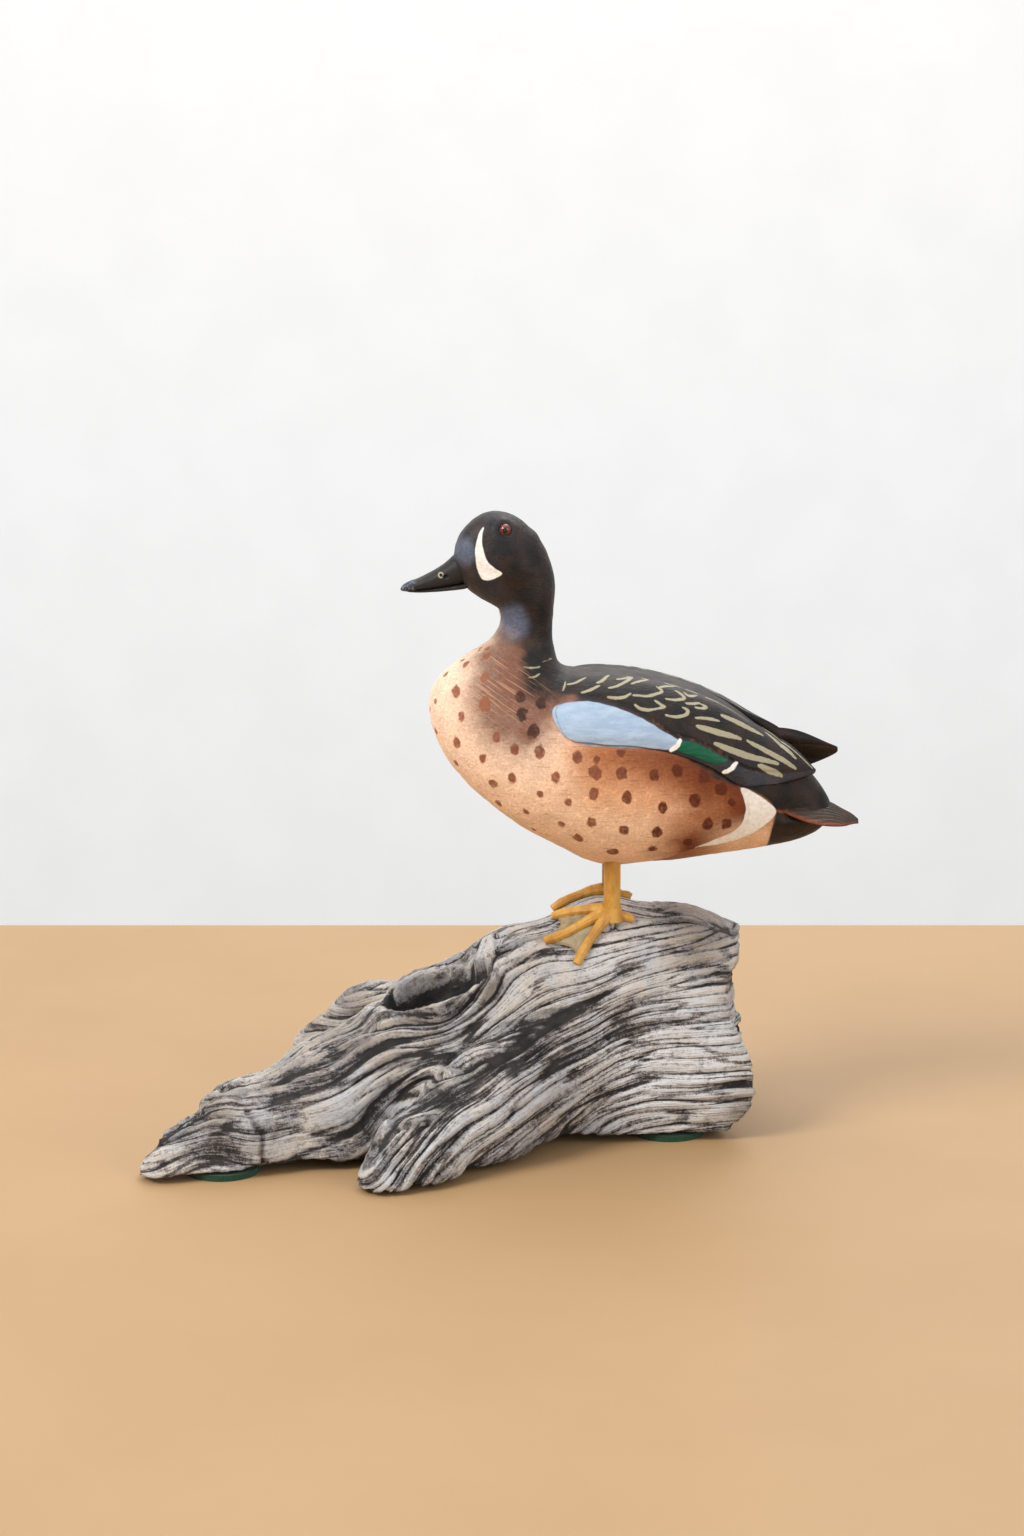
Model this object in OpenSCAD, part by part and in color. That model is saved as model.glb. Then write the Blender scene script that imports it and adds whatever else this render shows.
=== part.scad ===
// Standing drake figure: a painted teal on a driftwood stand, with felt pads underneath.
// Millimetres. +Z is up, the bird faces -X, and its left side faces -Y.

/* [Stand] */
// Thickness of the felt pads, which is also the height of the stand's flat underside
pad_h = 1.6; // [1:0.1:3]
// Radius of each felt pad
pad_r = 9.5; // [6:0.5:10]
// How softly the roots run into the trunk
root_blend = 5; // [3:0.5:7]
// Thickness that a toe buries in the wood
toe_sink = 0.2; // [0:0.1:0.8]

/* [Legs and feet] */
// Outer radius of each leg
leg_r = 2.2; // [1.8:0.1:2.6]
// Radius of the steel pin inside each leg
pin_r = 1; // [0.8:0.1:1.2]
// Radial clearance round each pin
pin_gap = 0.05; // [0.02:0.01:0.1]
// Distance from the bird's mid-plane to each leg
leg_y = 9; // [7:0.5:11]
// Radius of a toe where it leaves the foot
toe_r = 1.7; // [1.2:0.1:2]
// Thickness of the web between the toes
web_t = 0.8; // [0.5:0.1:1.2]

/* [Bird] */
// Scale of the bird's width
body_fullness = 1; // [0.9:0.05:1.1]
// Squareness of the body's cross-section, where 2 is an ellipse
body_power = 2.15; // [2:0.05:2.5]
// Thickness of the carved wing panels at their middle
wing_t = 1.3; // [0.8:0.1:1.8]
// Radius of each glass eye
eye_r = 1.5; // [1.2:0.1:1.8]
// Radius of the dowel between body and neck
dowel_r = 2.5; // [2:0.25:3]

/* [Hidden] */
$fn = 48;

// Moves the working frame so that the origin is the middle of the underside.
origin_shift = [1.6, -0.1, 0];
// Height of the bird's mid-plane in the working frame, front to back.
bird_y = 18;
leg_x = 26.3;
belly_z = 72;
LEFT = -1;
RIGHT = 1;

// ---------- shared functions ----------
function clamp01(v) = min(1, max(0, v));
function smooth(a, b, v) = let (t = clamp01((v - a) / (b - a))) t * t * (3 - 2 * t);
// Smooth curve through the rows of a table, at a position counted in rows.
function along(table, s) = let (
    last = len(table) - 1,
    i = min(max(floor(s), 0), last - 1),
    t = s - i,
    a = table[max(i - 1, 0)],
    b = table[i],
    c = table[i + 1],
    d = table[min(i + 2, last)])
    0.5 * (2 * b + (c - a) * t + (2 * a - 5 * b + 4 * c - d) * t * t + (3 * b - a - 3 * c + d) * t * t * t);
function signed_pow(v, e) = sign(v) * pow(abs(v), e);

// One closed ring of a loft. A row is [top x, top z, bottom x, bottom z, half width].
function ring_point(row, angle, power) = let (
    up = signed_pow(cos(angle), 2 / power),
    side = signed_pow(sin(angle), 2 / power))
    [(row[0] + row[2]) / 2 + (row[0] - row[2]) / 2 * up,
     row[4] * side,
     (row[1] + row[3]) / 2 + (row[1] - row[3]) / 2 * up];
function ring(row, count, power) = [for (k = [0:count - 1]) ring_point(row, 360 * k / count, power)];
function flatten(lists) = [for (l = lists) for (v = l) v];
function mean(points) = let (n = len(points)) [for (k = [0:2]) [for (p = points) p[k]] * [for (p = points) 1] / n];

// Closed skin over rings that all have the same number of points. The ends close on their middles.
module skin(rings, flip = false) {
    count = len(rings[0]);
    last = len(rings) - 1;
    points = concat(flatten(rings), [mean(rings[0]), mean(rings[last])]);
    start_hub = len(points) - 2;
    end_hub = len(points) - 1;
    sides = [for (i = [0:last - 1]) for (k = [0:count - 1]) let (
        a = i * count + k,
        b = i * count + (k + 1) % count)
        each [[a, b, b + count], [a, b + count, a + count]]];
    starts = [for (k = [0:count - 1]) [start_hub, (k + 1) % count, k]];
    ends = [for (k = [0:count - 1]) [end_hub, last * count + k, last * count + (k + 1) % count]];
    faces = concat(sides, starts, ends);
    polyhedron(points, flip ? [for (f = faces) [f[0], f[2], f[1]]] : faces, convexity = 6);
}

// Closed plate between an upper and a lower grid of points.
module plate(upper, lower, flip = false) {
    rows = len(upper);
    cols = len(upper[0]);
    n = rows * cols;
    cells = [for (i = [0:rows - 2]) for (j = [0:cols - 2]) i * cols + j];
    tops = [for (c = cells) each [[c, c + 1, c + cols + 1], [c, c + cols + 1, c + cols]]];
    bottoms = [for (c = cells) each [[n + c, n + c + cols + 1, n + c + 1], [n + c, n + c + cols, n + c + cols + 1]]];
    rim = concat(
        [for (j = [0:cols - 1]) j],
        [for (i = [1:rows - 1]) i * cols + cols - 1],
        [for (j = [cols - 2:-1:0]) (rows - 1) * cols + j],
        [for (i = [rows - 2:-1:1]) i * cols]);
    edges = [for (k = [0:len(rim) - 1]) let (a = rim[k], b = rim[(k + 1) % len(rim)])
        each [[a, n + b, b], [a, n + a, n + b]]];
    faces = concat(tops, bottoms, edges);
    polyhedron(concat(flatten(upper), flatten(lower)),
        flip ? [for (f = faces) [f[0], f[2], f[1]]] : faces, convexity = 6);
}

// Tube along points, with its own radius at each.
module tube(points, radii, sides = 10) {
    last = len(points) - 1;
    rings = [for (i = [0:last]) let (
        ahead = points[min(i + 1, last)] - points[max(i - 1, 0)],
        dir = ahead / norm(ahead),
        side_raw = cross(dir, [0, 0, 1]),
        side = side_raw / norm(side_raw),
        up = cross(side, dir))
        [for (k = [0:sides - 1]) points[i] + radii[i] * (cos(360 * k / sides) * side + sin(360 * k / sides) * up)]];
    skin(rings);
}

// ---------- driftwood stand ----------
// Limbs of the driftwood, thick end first: [x, y, z, half width, half height].
trunk = [[66, 20, 11, 24, 39.5], [45, 21, 11, 25, 45], [24, 19, 12, 24.5, 46.5], [2, 14, 10, 24, 41.5],
    [-20, 5, 8, 21, 35], [-46, -9, 5, 18, 24], [-70, -22, 3, 12.5, 17.5], [-88, -33, 1.5, 6.5, 9.5]];
front_root = [[16, 6, 21, 17, 20], [-8, -16, 13, 14.5, 15], [-25, -34, 7, 10.5, 9.5], [-32, -42, 3, 6.5, 6]];
back_root = [[-14, 20, 18, 15, 21], [-38, 29, 15, 11.5, 18], [-52, 33, 10, 8.5, 13]];
hollow_at = [-21, 2, 46];
hollow_size = [17, 5.5, 9];
hollow_dir = [0.86, 0.35, 0.37];
// How far the broken end reaches at each height: [z, x].
end_reach = [[0, 53], [4, 58.5], [8, 62.5], [14, 64.5], [20, 63.8], [30, 57.5], [40, 56], [46, 59.5], [52, 60.5], [60, 57]];
end_x = 61;
tip_x = -94.6;
stand_stations = 46;
stand_ring = 36;
root_stations = 18;
root_ring = 24;
// The roots' flat undersides sit a little off the trunk's, so that their faces never coincide.
front_floor = 1;
back_floor = 1.7;

function blend_min(a, b, k) = let (h = clamp01(0.5 + 0.5 * (b - a) / k)) b + (a - b) * h - k * h * (1 - h);
function limb_part(p, a, b) = let (
    axis = [b[0] - a[0], b[1] - a[1], b[2] - a[2]],
    q = p - [a[0], a[1], a[2]],
    t = clamp01(q * axis / (axis * axis)),
    off = q - t * axis,
    rh = a[3] + t * (b[3] - a[3]),
    rv = a[4] + t * (b[4] - a[4]))
    (norm([off[0] / rh, off[1] / rh, off[2] / rv]) - 1) * min(rh, rv);
function limb(p, chain, i = 0) = let (d = limb_part(p, chain[i], chain[i + 1]))
    i + 2 < len(chain) ? blend_min(d, limb(p, chain, i + 1), root_blend) : d;
function hollow(p) = let (
    x = hollow_dir / norm(hollow_dir),
    side_raw = cross([0, 0, 1], x),
    side = side_raw / norm(side_raw),
    up = cross(x, side),
    q = p - hollow_at)
    (norm([q * x / hollow_size[0], q * side / hollow_size[1], q * up / hollow_size[2]]) - 1) * hollow_size[1];
// Signed distance to the wood, negative inside.
function wood(p) = let (
    limbs = blend_min(blend_min(limb(p, trunk), limb(p, front_root), root_blend), limb(p, back_root), root_blend))
    -blend_min(-limbs, hollow(p), 2);
function edge(origin, dir, near, far, steps = 13) = steps == 0 ? (near + far) / 2 : let (mid = (near + far) / 2)
    wood(origin + mid * dir) < 0 ? edge(origin, dir, mid, far, steps - 1) : edge(origin, dir, near, mid, steps - 1);
// The same for the trunk alone, and for one root alone.
function trunk_wood(p) = -blend_min(-limb(p, trunk), hollow(p), 2);
function trunk_edge(origin, dir, near, far, steps = 13) = steps == 0 ? (near + far) / 2 : let (mid = (near + far) / 2)
    trunk_wood(origin + mid * dir) < 0 ? trunk_edge(origin, dir, mid, far, steps - 1)
        : trunk_edge(origin, dir, near, mid, steps - 1);
function root_edge(chain, origin, dir, near, far, steps = 12) = steps == 0 ? (near + far) / 2 : let (mid = (near + far) / 2)
    limb(origin + mid * dir, chain) < 0 ? root_edge(chain, origin, dir, mid, far, steps - 1)
        : root_edge(chain, origin, dir, near, mid, steps - 1);
// Height of the wood's surface at a place on top of the stand.
function wood_top(x, y) = 12 + edge([x, y, 12], [0, 0, 1], 0, 60);

function heart(x) = let (
    rows = [for (r = trunk) r],
    i = [for (k = [0:len(rows) - 2]) if (x <= rows[k][0] && x >= rows[k + 1][0]) k],
    k = len(i) > 0 ? i[0] : (x > 0 ? 0 : len(rows) - 2),
    t = (x - rows[k][0]) / (rows[k + 1][0] - rows[k][0]))
    [x, rows[k][1] + t * (rows[k + 1][1] - rows[k][1]), max(pad_h + 1.2, 0.6 * rows[k][2] + 0.4)];
function stand_ring_at(x) = let (c = heart(x))
    [for (k = [0:stand_ring - 1]) let (
        a = 360 * k / stand_ring,
        dir = [0, sin(a), cos(a)],
        free = trunk_edge(c, dir, 0, 70),
        floor_cut = dir[2] < 0 ? (c[2] - pad_h) / -dir[2] : 1e6,
        p = c + min(free, floor_cut) * dir,
        pull = smooth(42, end_x, x))
        [p[0] + pull * (lookup(p[2], end_reach) - end_x), p[1], p[2]]];

module trunk_body() {
    stations = [for (i = [0:stand_stations - 1]) let (t = i / (stand_stations - 1))
        end_x + (tip_x - end_x) * (t < 0.9 ? t : 0.9 + 0.1 * sin(90 * (t - 0.9) / 0.1))];
    skin([for (x = stations) stand_ring_at(x)], flip = true);
}

// One root: rings square to a straight line from its first row to its last.
function chain_spot(chain, t) = along(chain, t * (len(chain) - 1));
function root_ring_at(chain, t, reach, floor_z) = let (
    last = chain[len(chain) - 1],
    run = [last[0] - chain[0][0], last[1] - chain[0][1], 0],
    ahead = run / norm(run),
    side = [-ahead[1], ahead[0], 0],
    spot = chain_spot(chain, min(t, 1)),
    c = [spot[0], spot[1], max(spot[2], floor_z + 1)] + max(t - 1, 0) * reach * ahead)
    [for (k = [0:root_ring - 1]) let (
        a = 360 * k / root_ring,
        dir = sin(a) * side + [0, 0, cos(a)],
        free = root_edge(chain, c, dir, 0, 40),
        floor_cut = dir[2] < 0 ? (c[2] - floor_z) / -dir[2] : 1e6)
        c + min(free, floor_cut) * dir];
module root(chain, reach, floor_z) {
    steps = [for (i = [0:root_stations]) let (u = i / root_stations) u < 0.75 ? u / 0.75 : 1 + 0.97 * sin(90 * (u - 0.75) / 0.25)];
    skin([for (t = steps) root_ring_at(chain, t, reach, floor_z)]);
}

module driftwood_base() {
    color([0.62, 0.58, 0.52])
    translate(origin_shift)
    difference() {
        union() {
            trunk_body();
            root(front_root, 7, front_floor);
            root(back_root, 8, back_floor);
        }
        for (side = [LEFT, RIGHT]) pin_hole(side);
    }
}

module pin_hole(side) {
    translate([leg_x, bird_y + side * leg_y, pin_bottom]) cylinder(r = pin_r + pin_gap, h = pin_top - pin_bottom);
}

module felt_pad(x, y) {
    color([0.1, 0.42, 0.24]) translate(origin_shift) translate([x, y, 0]) cylinder(r = pad_r, h = pad_h);
}

// ---------- legs and feet ----------
pin_bottom = 40;
pin_top = 84;
hub_h = 3.2;
// Toes of the left foot: [reach towards the bill, reach outwards, end radius]. The right foot is its mirror image.
toes = [[-15.5, -4.2, 1.1], [-17.8, 3.8, 1.1], [-9.5, 8.3, 1.1], [5.6, -0.6, 1]];
toe_steps = 6;

function foot_at(side) = [leg_x, bird_y + side * leg_y];
function ankle_z(side) = wood_top(foot_at(side)[0], foot_at(side)[1]);
function toe_place(side, toe, t) = foot_at(side) + t * [toe[0], side * toe[1]];
function toe_point(side, toe, t, r) = let (p = toe_place(side, toe, t))
    [p[0], p[1], wood_top(p[0], p[1]) + r - toe_sink];
module toe(side, toe) {
    steps = [for (i = [0:toe_steps]) i / toe_steps];
    radii = [for (t = steps) (toe_r + (toe[2] - toe_r) * t) * (1 + 0.12 * sin(540 * t))];
    tube([for (i = [0:toe_steps]) toe_point(side, toe, steps[i], radii[i])], radii);
}
module foot(side) {
    z = ankle_z(side);
    color([0.85, 0.55, 0.13])
    translate(origin_shift)
    difference() {
        union() {
            for (t = toes) toe(side, t);
            translate([leg_x, foot_at(side)[1], z - 0.5]) cylinder(r1 = 3, r2 = leg_r + 0.3, h = hub_h + 0.5);
        }
        pin_hole(side);
    }
}

// Web between two toes: a thin sheet on the wood, hollowed along its front edge.
function web_spot(side, a, b, u, v) = let (
    pull = 1 - 0.7 * v * (1 - v),
    pa = toe_place(side, a, 0.2 + 0.74 * u * pull),
    pb = toe_place(side, b, 0.2 + 0.74 * u * pull))
    pa + v * (pb - pa);
module web(side, a, b) {
    grid = [for (i = [0:5]) [for (j = [0:4]) web_spot(side, a, b, i / 5, 0.06 + 0.88 * j / 4)]];
    upper = [for (row = grid) [for (p = row) [p[0], p[1], wood_top(p[0], p[1]) + web_t]]];
    lower = [for (row = grid) [for (p = row) [p[0], p[1], wood_top(p[0], p[1]) + 0.05]]];
    plate(upper, lower, flip = side == RIGHT);
}
module webs(side) {
    color([0.5, 0.47, 0.33])
    translate(origin_shift) {
        web(side, toes[1], toes[0]);
        web(side, toes[2], toes[1]);
    }
}
module left_foot() { foot(LEFT); }
module right_foot() { foot(RIGHT); }
module left_web() { webs(LEFT); }
module right_web() { webs(RIGHT); }

module leg(side) {
    z = ankle_z(side) + hub_h;
    color([0.87, 0.57, 0.14])
    translate(origin_shift)
    translate([leg_x, bird_y + side * leg_y, z])
    difference() {
        cylinder(r = leg_r, h = belly_z + 3 - z);
        translate([0, 0, -1]) cylinder(r = pin_r + pin_gap, h = 40);
    }
}
module left_leg() { leg(LEFT); }
module right_leg() { leg(RIGHT); }

module leg_pin(side) {
    color([0.7, 0.7, 0.72])
    translate(origin_shift)
    translate([leg_x, bird_y + side * leg_y, pin_bottom + 0.2])
    cylinder(r = pin_r, h = pin_top - pin_bottom - 0.4);
}
module left_leg_pin() { leg_pin(LEFT); }
module right_leg_pin() { leg_pin(RIGHT); }

// ---------- bird ----------
// Sections from rump to forehead: [back x, back z, belly x, belly z, half width].
sections = [
    [84.2, 85.4, 82.3, 80.8, 4.5],
    [82.4, 89.4, 79.5, 78.4, 8],
    [79.3, 93.4, 75.5, 76.8, 11],
    [73.5, 99.2, 69, 75.4, 14.2],
    [66, 105.7, 62, 74.2, 17.3],
    [56, 113.1, 53, 72.9, 20.2],
    [45, 118.1, 43, 71.6, 22.3],
    [34, 120.9, 33, 70.7, 23.4],
    [25, 121.9, 23, 70.4, 23.6],
    [18.5, 122, 12.4, 75.1, 23],
    [15, 122.2, 2.3, 80.5, 21.8],
    [13.2, 122.9, -5.1, 85.9, 20.4],
    [12.3, 123.7, -11.9, 92, 18.9],
    [11.8, 124.6, -17.3, 98.8, 17.3],
    [11.4, 125.7, -20.7, 106, 15.7],
    [11.1, 127, -21.7, 113, 13.9],
    [10.8, 128.5, -19.8, 118.9, 12],
    [10.6, 130, -14.5, 124, 10.2],
    [10.5, 131.8, -8.8, 127.5, 8.9],
    [10.6, 134, -5, 130.6, 8.1],
    [10.9, 138, -3.1, 134.3, 7.8],
    [11.2, 142.3, -3.3, 137.6, 8.2],
    [11, 146, -5.5, 139.3, 8.8],
    [10.1, 150, -8, 140.7, 9.3],
    [8.2, 154.5, -10, 142, 9.5],
    [5, 158.8, -11.6, 143.3, 9.3],
    [0.5, 162.3, -12.8, 144.8, 8.8],
    [-4.7, 163.5, -13.7, 146.4, 7.9],
    [-9.5, 161.8, -14.5, 148.2, 6.7],
    [-13, 158.3, -15.1, 149.8, 5.2],
    [-14.7, 154.9, -15.2, 151.4, 3]];
seam = 18;
head_end = len(sections) - 1;
body_ring = 28;

function widened(row) = [row[0], row[1], row[2], row[3], row[4] * body_fullness];
function bird_row(s) = widened(along(sections, s));
function bird_point(s, angle) = ring_point(bird_row(s), angle, body_power);
function bird_rings(from, to, step, count) =
    [for (s = [from:step:to + 0.001]) ring(bird_row(s), count, body_power)];

module on_bird() { translate(origin_shift + [0, bird_y, 0]) children(); }

module torso() {
    skin(bird_rings(0, seam, 0.5, body_ring));
    for (side = [LEFT, RIGHT])
        translate([leg_x, side * leg_y, belly_z - 2.2]) cylinder(r1 = leg_r + 0.5, r2 = leg_r + 2, h = 6);
}
module body() {
    color([0.78, 0.52, 0.36])
    on_bird()
    difference() {
        torso();
        tail_plate();
        for (side = [LEFT, RIGHT]) {
            translate([leg_x, side * leg_y, belly_z - 5]) cylinder(r = leg_r + pin_gap, h = 8);
            translate([leg_x, side * leg_y, belly_z + 2]) cylinder(r = pin_r + pin_gap, h = pin_top - belly_z - 2);
        }
        dowel(pin_gap);
    }
}

// Dowel that pegs the neck on to the body, square to the joint between them.
dowel_at = [0.8, 129.7];
dowel_tilt = -12;
dowel_l = 22;
module dowel(gap) {
    translate([dowel_at[0], 0, dowel_at[1]]) rotate([0, dowel_tilt, 0])
    translate([0, 0, -dowel_l / 2 - gap]) cylinder(r = dowel_r + gap, h = dowel_l + 2 * gap);
}
module neck_dowel() { color([0.8, 0.65, 0.45]) on_bird() dowel(0); }

module head_shape() { skin(bird_rings(seam, head_end, 0.5, 24)); }
module head_and_neck() {
    color([0.13, 0.14, 0.17])
    on_bird()
    difference() {
        head_shape();
        peg_hole();
        for (side = [LEFT, RIGHT]) eye(side);
        dowel(pin_gap);
    }
}

// ---------- bill ----------
// Upper bill, face to tip: [ridge x, ridge z, edge x, edge z, half width].
upper_rows = [
    [-13.2, 153.2, -12.2, 144.7, 4.3],
    [-14.8, 152.3, -13.2, 144.5, 4.5],
    [-16.8, 150.5, -15, 144.2, 4.3],
    [-19.2, 148.7, -18, 143.7, 4],
    [-22, 147.1, -21.2, 143.3, 3.8],
    [-24.6, 145.8, -24.2, 143, 3.9],
    [-26.8, 144.9, -26.6, 142.8, 3.6],
    [-28.2, 144.1, -28.1, 142.7, 2.6],
    [-28.9, 143.4, -28.9, 142.9, 1]];
lower_rows = [
    [-12, 144.6, -12, 142.9, 3.6],
    [-14.8, 144.1, -14.6, 142.5, 3.7],
    [-18, 143.6, -17.8, 142.2, 3.4],
    [-21.2, 143.2, -21.2, 141.9, 3.2],
    [-24.2, 142.9, -24.2, 141.8, 3.2],
    [-26.6, 142.7, -26.6, 141.9, 2.8],
    [-27.9, 142.6, -27.9, 142.2, 1.6]];
function bill_rings(rows, power) = [for (s = [0:0.5:len(rows) - 1]) ring(along(rows, s), 16, power)];
// Round peg behind the upper bill, and the hole for it in the face.
peg_z = 148;
peg_r = 2;
peg_end = -8.5;
function peg_ring(x) = ring([x, peg_z + peg_r, x, peg_z - peg_r, peg_r], 16, 2);
module peg_hole() {
    translate([-18, 0, peg_z]) rotate([0, 90, 0]) cylinder(r = peg_r + pin_gap, h = peg_end + 18 + 0.2);
}
module upper_bill() {
    color([0.12, 0.12, 0.13])
    on_bird()
    skin(concat([peg_ring(peg_end), peg_ring(-12.6)], bill_rings(upper_rows, 2.3)));
}
module lower_bill() {
    color([0.1, 0.1, 0.11])
    on_bird()
    difference() {
        skin(bill_rings(lower_rows, 2.3));
        skin(bill_rings(upper_rows, 2.3));
    }
}

// ---------- eyes ----------
eye_at = [-1.8, 6, 159.4];
module eye(side) { translate([eye_at[0], side * eye_at[1], eye_at[2]]) sphere(r = eye_r); }
module left_eye() { color([0.45, 0.13, 0.08]) on_bird() eye(LEFT); }
module right_eye() { color([0.45, 0.13, 0.08]) on_bird() eye(RIGHT); }

// ---------- tail ----------
// Tail feathers from root to tip: [x, z, half width, half thickness].
tail_rows = [[69, 88.6, 9.5, 1.6], [73, 87, 10.8, 1.5], [77, 85.6, 11.6, 1.3], [81, 84, 11.6, 1.1],
    [84, 83, 9.6, 1], [87, 82.2, 7, 0.9], [89.6, 81.6, 4, 0.8], [91.4, 81.2, 1.2, 0.6]];
tail_droop = 1.4;
function tail_ring(row) = [for (k = [0:19]) let (a = 360 * k / 20, side = signed_pow(sin(a), 0.9))
    [row[0], row[2] * side, row[1] + row[3] * cos(a) - tail_droop * row[2] / 11 * side * side]];
module tail_plate() { skin([for (s = [0:0.5:len(tail_rows) - 1]) tail_ring(along(tail_rows, s))]); }
module tail() { color([0.16, 0.14, 0.13]) on_bird() tail_plate(); }

// ---------- wings ----------
// Edges of a wing panel from shoulder to rump: [section number, inner angle, outer angle].
wing_rows = [[10.3, 18, 56], [9.4, 8, 70], [8.4, 4, 69.3], [7.4, 4, 68.7], [6.4, 4, 70.2], [5.4, 4, 74.7],
    [4.6, 4, 81.5], [4, 5, 75.1], [3.5, 5, 67.6]];
wing_cols = 12;
wing_steps = 14;
free_steps = 7;
// Free end of each folded wing: [inner corner, outer corner], for the bird's right side.
left_tip = [[79.6, -3.6, 96], [79.2, -6.4, 94.6]];
right_tip = [[85, 6.4, 100.2], [86.3, 10.4, 97.6]];

function wing_skin(side, s, angle, lift) = let (
    row = bird_row(s),
    p = ring_point(row, angle * side, body_power),
    core = [(row[0] + row[2]) / 2, 0, (row[1] + row[3]) / 2],
    out = (p - core) / norm(p - core))
    p + lift * out;
// Panel height above the back: thin at the shoulder, full along the wing, and rounded at both edges.
function wing_lift(u, v) = wing_t * smooth(0, 0.3, u) * (0.35 + 0.65 * pow(sin(180 * clamp01(v * 0.9 + 0.08)), 0.5));
function wing_grid(side, top) = [for (i = [0:wing_steps]) let (
        u = i / wing_steps,
        row = along(wing_rows, u * (len(wing_rows) - 1)))
    [for (j = [0:wing_cols]) let (v = j / wing_cols)
        wing_skin(side, row[0], row[1] + v * (row[2] - row[1]), top ? 0.12 + wing_lift(u, v) : 0.02)]];
function wing_end(last_row, tip, top, arch) = [for (i = [1:free_steps]) let (t = i / free_steps)
    [for (j = [0:wing_cols]) let (
        v = j / wing_cols,
        goal = tip[0] + v * (tip[1] - tip[0]),
        bow = arch * sin(180 * t) * (1 - t) * (1.3 - v))
        last_row[j] + t * (goal - last_row[j]) + [0, 0, bow] + (top ? [0, 0, 0] : [0, 0, -0.5 * t])]];
module wing(side, tip, arch) {
    upper = wing_grid(side, true);
    lower = wing_grid(side, false);
    color([0.1, 0.1, 0.11])
    on_bird()
    plate(concat(upper, wing_end(upper[wing_steps], tip, true, arch)),
        concat(lower, wing_end(lower[wing_steps], tip, false, arch)), flip = side == RIGHT);
}
module left_wing() { wing(LEFT, left_tip, 1.5); }
module right_wing() { wing(RIGHT, right_tip, 3.2); }

driftwood_base();
felt_pad(-74, -28);  // felt_pad_tip
felt_pad(41.5, 4);  // felt_pad_near
felt_pad(42, 35);  // felt_pad_far
felt_pad(-38, 27);  // felt_pad_root
left_foot();
right_foot();
left_web();
right_web();
left_leg();
right_leg();
left_leg_pin();
right_leg_pin();
body();
tail();
left_wing();
right_wing();
head_and_neck();
neck_dowel();
upper_bill();
lower_bill();
left_eye();
right_eye();
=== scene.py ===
"""A painted teal drake on a cast driftwood stand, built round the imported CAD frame."""

import math

import bpy
import numpy as np
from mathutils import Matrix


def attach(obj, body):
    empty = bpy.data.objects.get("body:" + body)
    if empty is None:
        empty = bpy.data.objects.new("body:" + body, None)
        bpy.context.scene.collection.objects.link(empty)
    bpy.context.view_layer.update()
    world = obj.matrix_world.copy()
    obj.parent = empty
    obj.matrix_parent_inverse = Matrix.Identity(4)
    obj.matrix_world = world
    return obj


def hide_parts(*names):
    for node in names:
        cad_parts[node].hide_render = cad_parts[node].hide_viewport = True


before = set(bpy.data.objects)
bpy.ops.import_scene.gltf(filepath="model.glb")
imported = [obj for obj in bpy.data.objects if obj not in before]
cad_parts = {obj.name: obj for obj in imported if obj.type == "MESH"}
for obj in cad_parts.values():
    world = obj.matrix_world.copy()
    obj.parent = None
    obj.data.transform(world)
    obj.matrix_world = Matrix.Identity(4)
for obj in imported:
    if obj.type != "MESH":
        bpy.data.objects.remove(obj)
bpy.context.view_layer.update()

# ---------------------------------------------------------------- numbers shared by the pieces
# Shapes are worked out in millimetres in the CAD's working frame, then moved by ORIGIN into metres.
MM = 0.001
ORIGIN = np.array([1.6, -0.1, 0.0])
# The bird's mid-plane, and its two sides as signs of y from there.
BIRD_Y = 18.0
LEFT, RIGHT = -1, 1
# How square the sections are: 2 is an ellipse.
BODY_POWER, BILL_POWER = 2.15, 2.3
# The section where the body ends and the head starts.
SEAM = 18.0
# A distance in millimetres that stands for "no mark near here".
FAR = 9.0

# Sections of the bird, rump to forehead: back x, back z, belly x, belly z, half width.
SECTIONS = np.array([
    [84.2, 85.4, 82.3, 80.8, 4.5], [82.4, 89.4, 79.5, 78.4, 8], [79.3, 93.4, 75.5, 76.8, 11],
    [73.5, 99.2, 69, 75.4, 14.2], [66, 105.7, 62, 74.2, 17.3], [56, 113.1, 53, 72.9, 20.2],
    [45, 118.1, 43, 71.6, 22.3], [34, 120.9, 33, 70.7, 23.4], [25, 121.9, 23, 70.4, 23.6],
    [18.5, 122, 12.4, 75.1, 23], [15, 122.2, 2.3, 80.5, 21.8], [13.2, 122.9, -5.1, 85.9, 20.4],
    [12.3, 123.7, -11.9, 92, 18.9], [11.8, 124.6, -17.3, 98.8, 17.3], [11.4, 125.7, -20.7, 106, 15.7],
    [11.1, 127, -21.7, 113, 13.9], [10.8, 128.5, -19.8, 118.9, 12], [10.6, 130, -14.5, 124, 10.2],
    [10.5, 131.8, -8.8, 127.5, 8.9], [10.6, 134, -5, 130.6, 8.1], [10.9, 138, -3.1, 134.3, 7.8],
    [11.2, 142.3, -3.3, 137.6, 8.2], [11, 146, -5.5, 139.3, 8.8], [10.1, 150, -8, 140.7, 9.3],
    [8.2, 154.5, -10, 142, 9.5], [5, 158.8, -11.6, 143.3, 9.3], [0.5, 162.3, -12.8, 144.8, 8.8],
    [-4.7, 163.5, -13.7, 146.4, 7.9], [-9.5, 161.8, -14.5, 148.2, 6.7], [-13, 158.3, -15.1, 149.8, 5.2],
    [-14.7, 154.9, -15.2, 151.4, 3]])


# ---------------------------------------------------------------- number helpers
def smooth(low, high, value):
    t = np.clip((value - low) / (high - low), 0, 1)
    return t * t * (3 - 2 * t)


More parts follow.
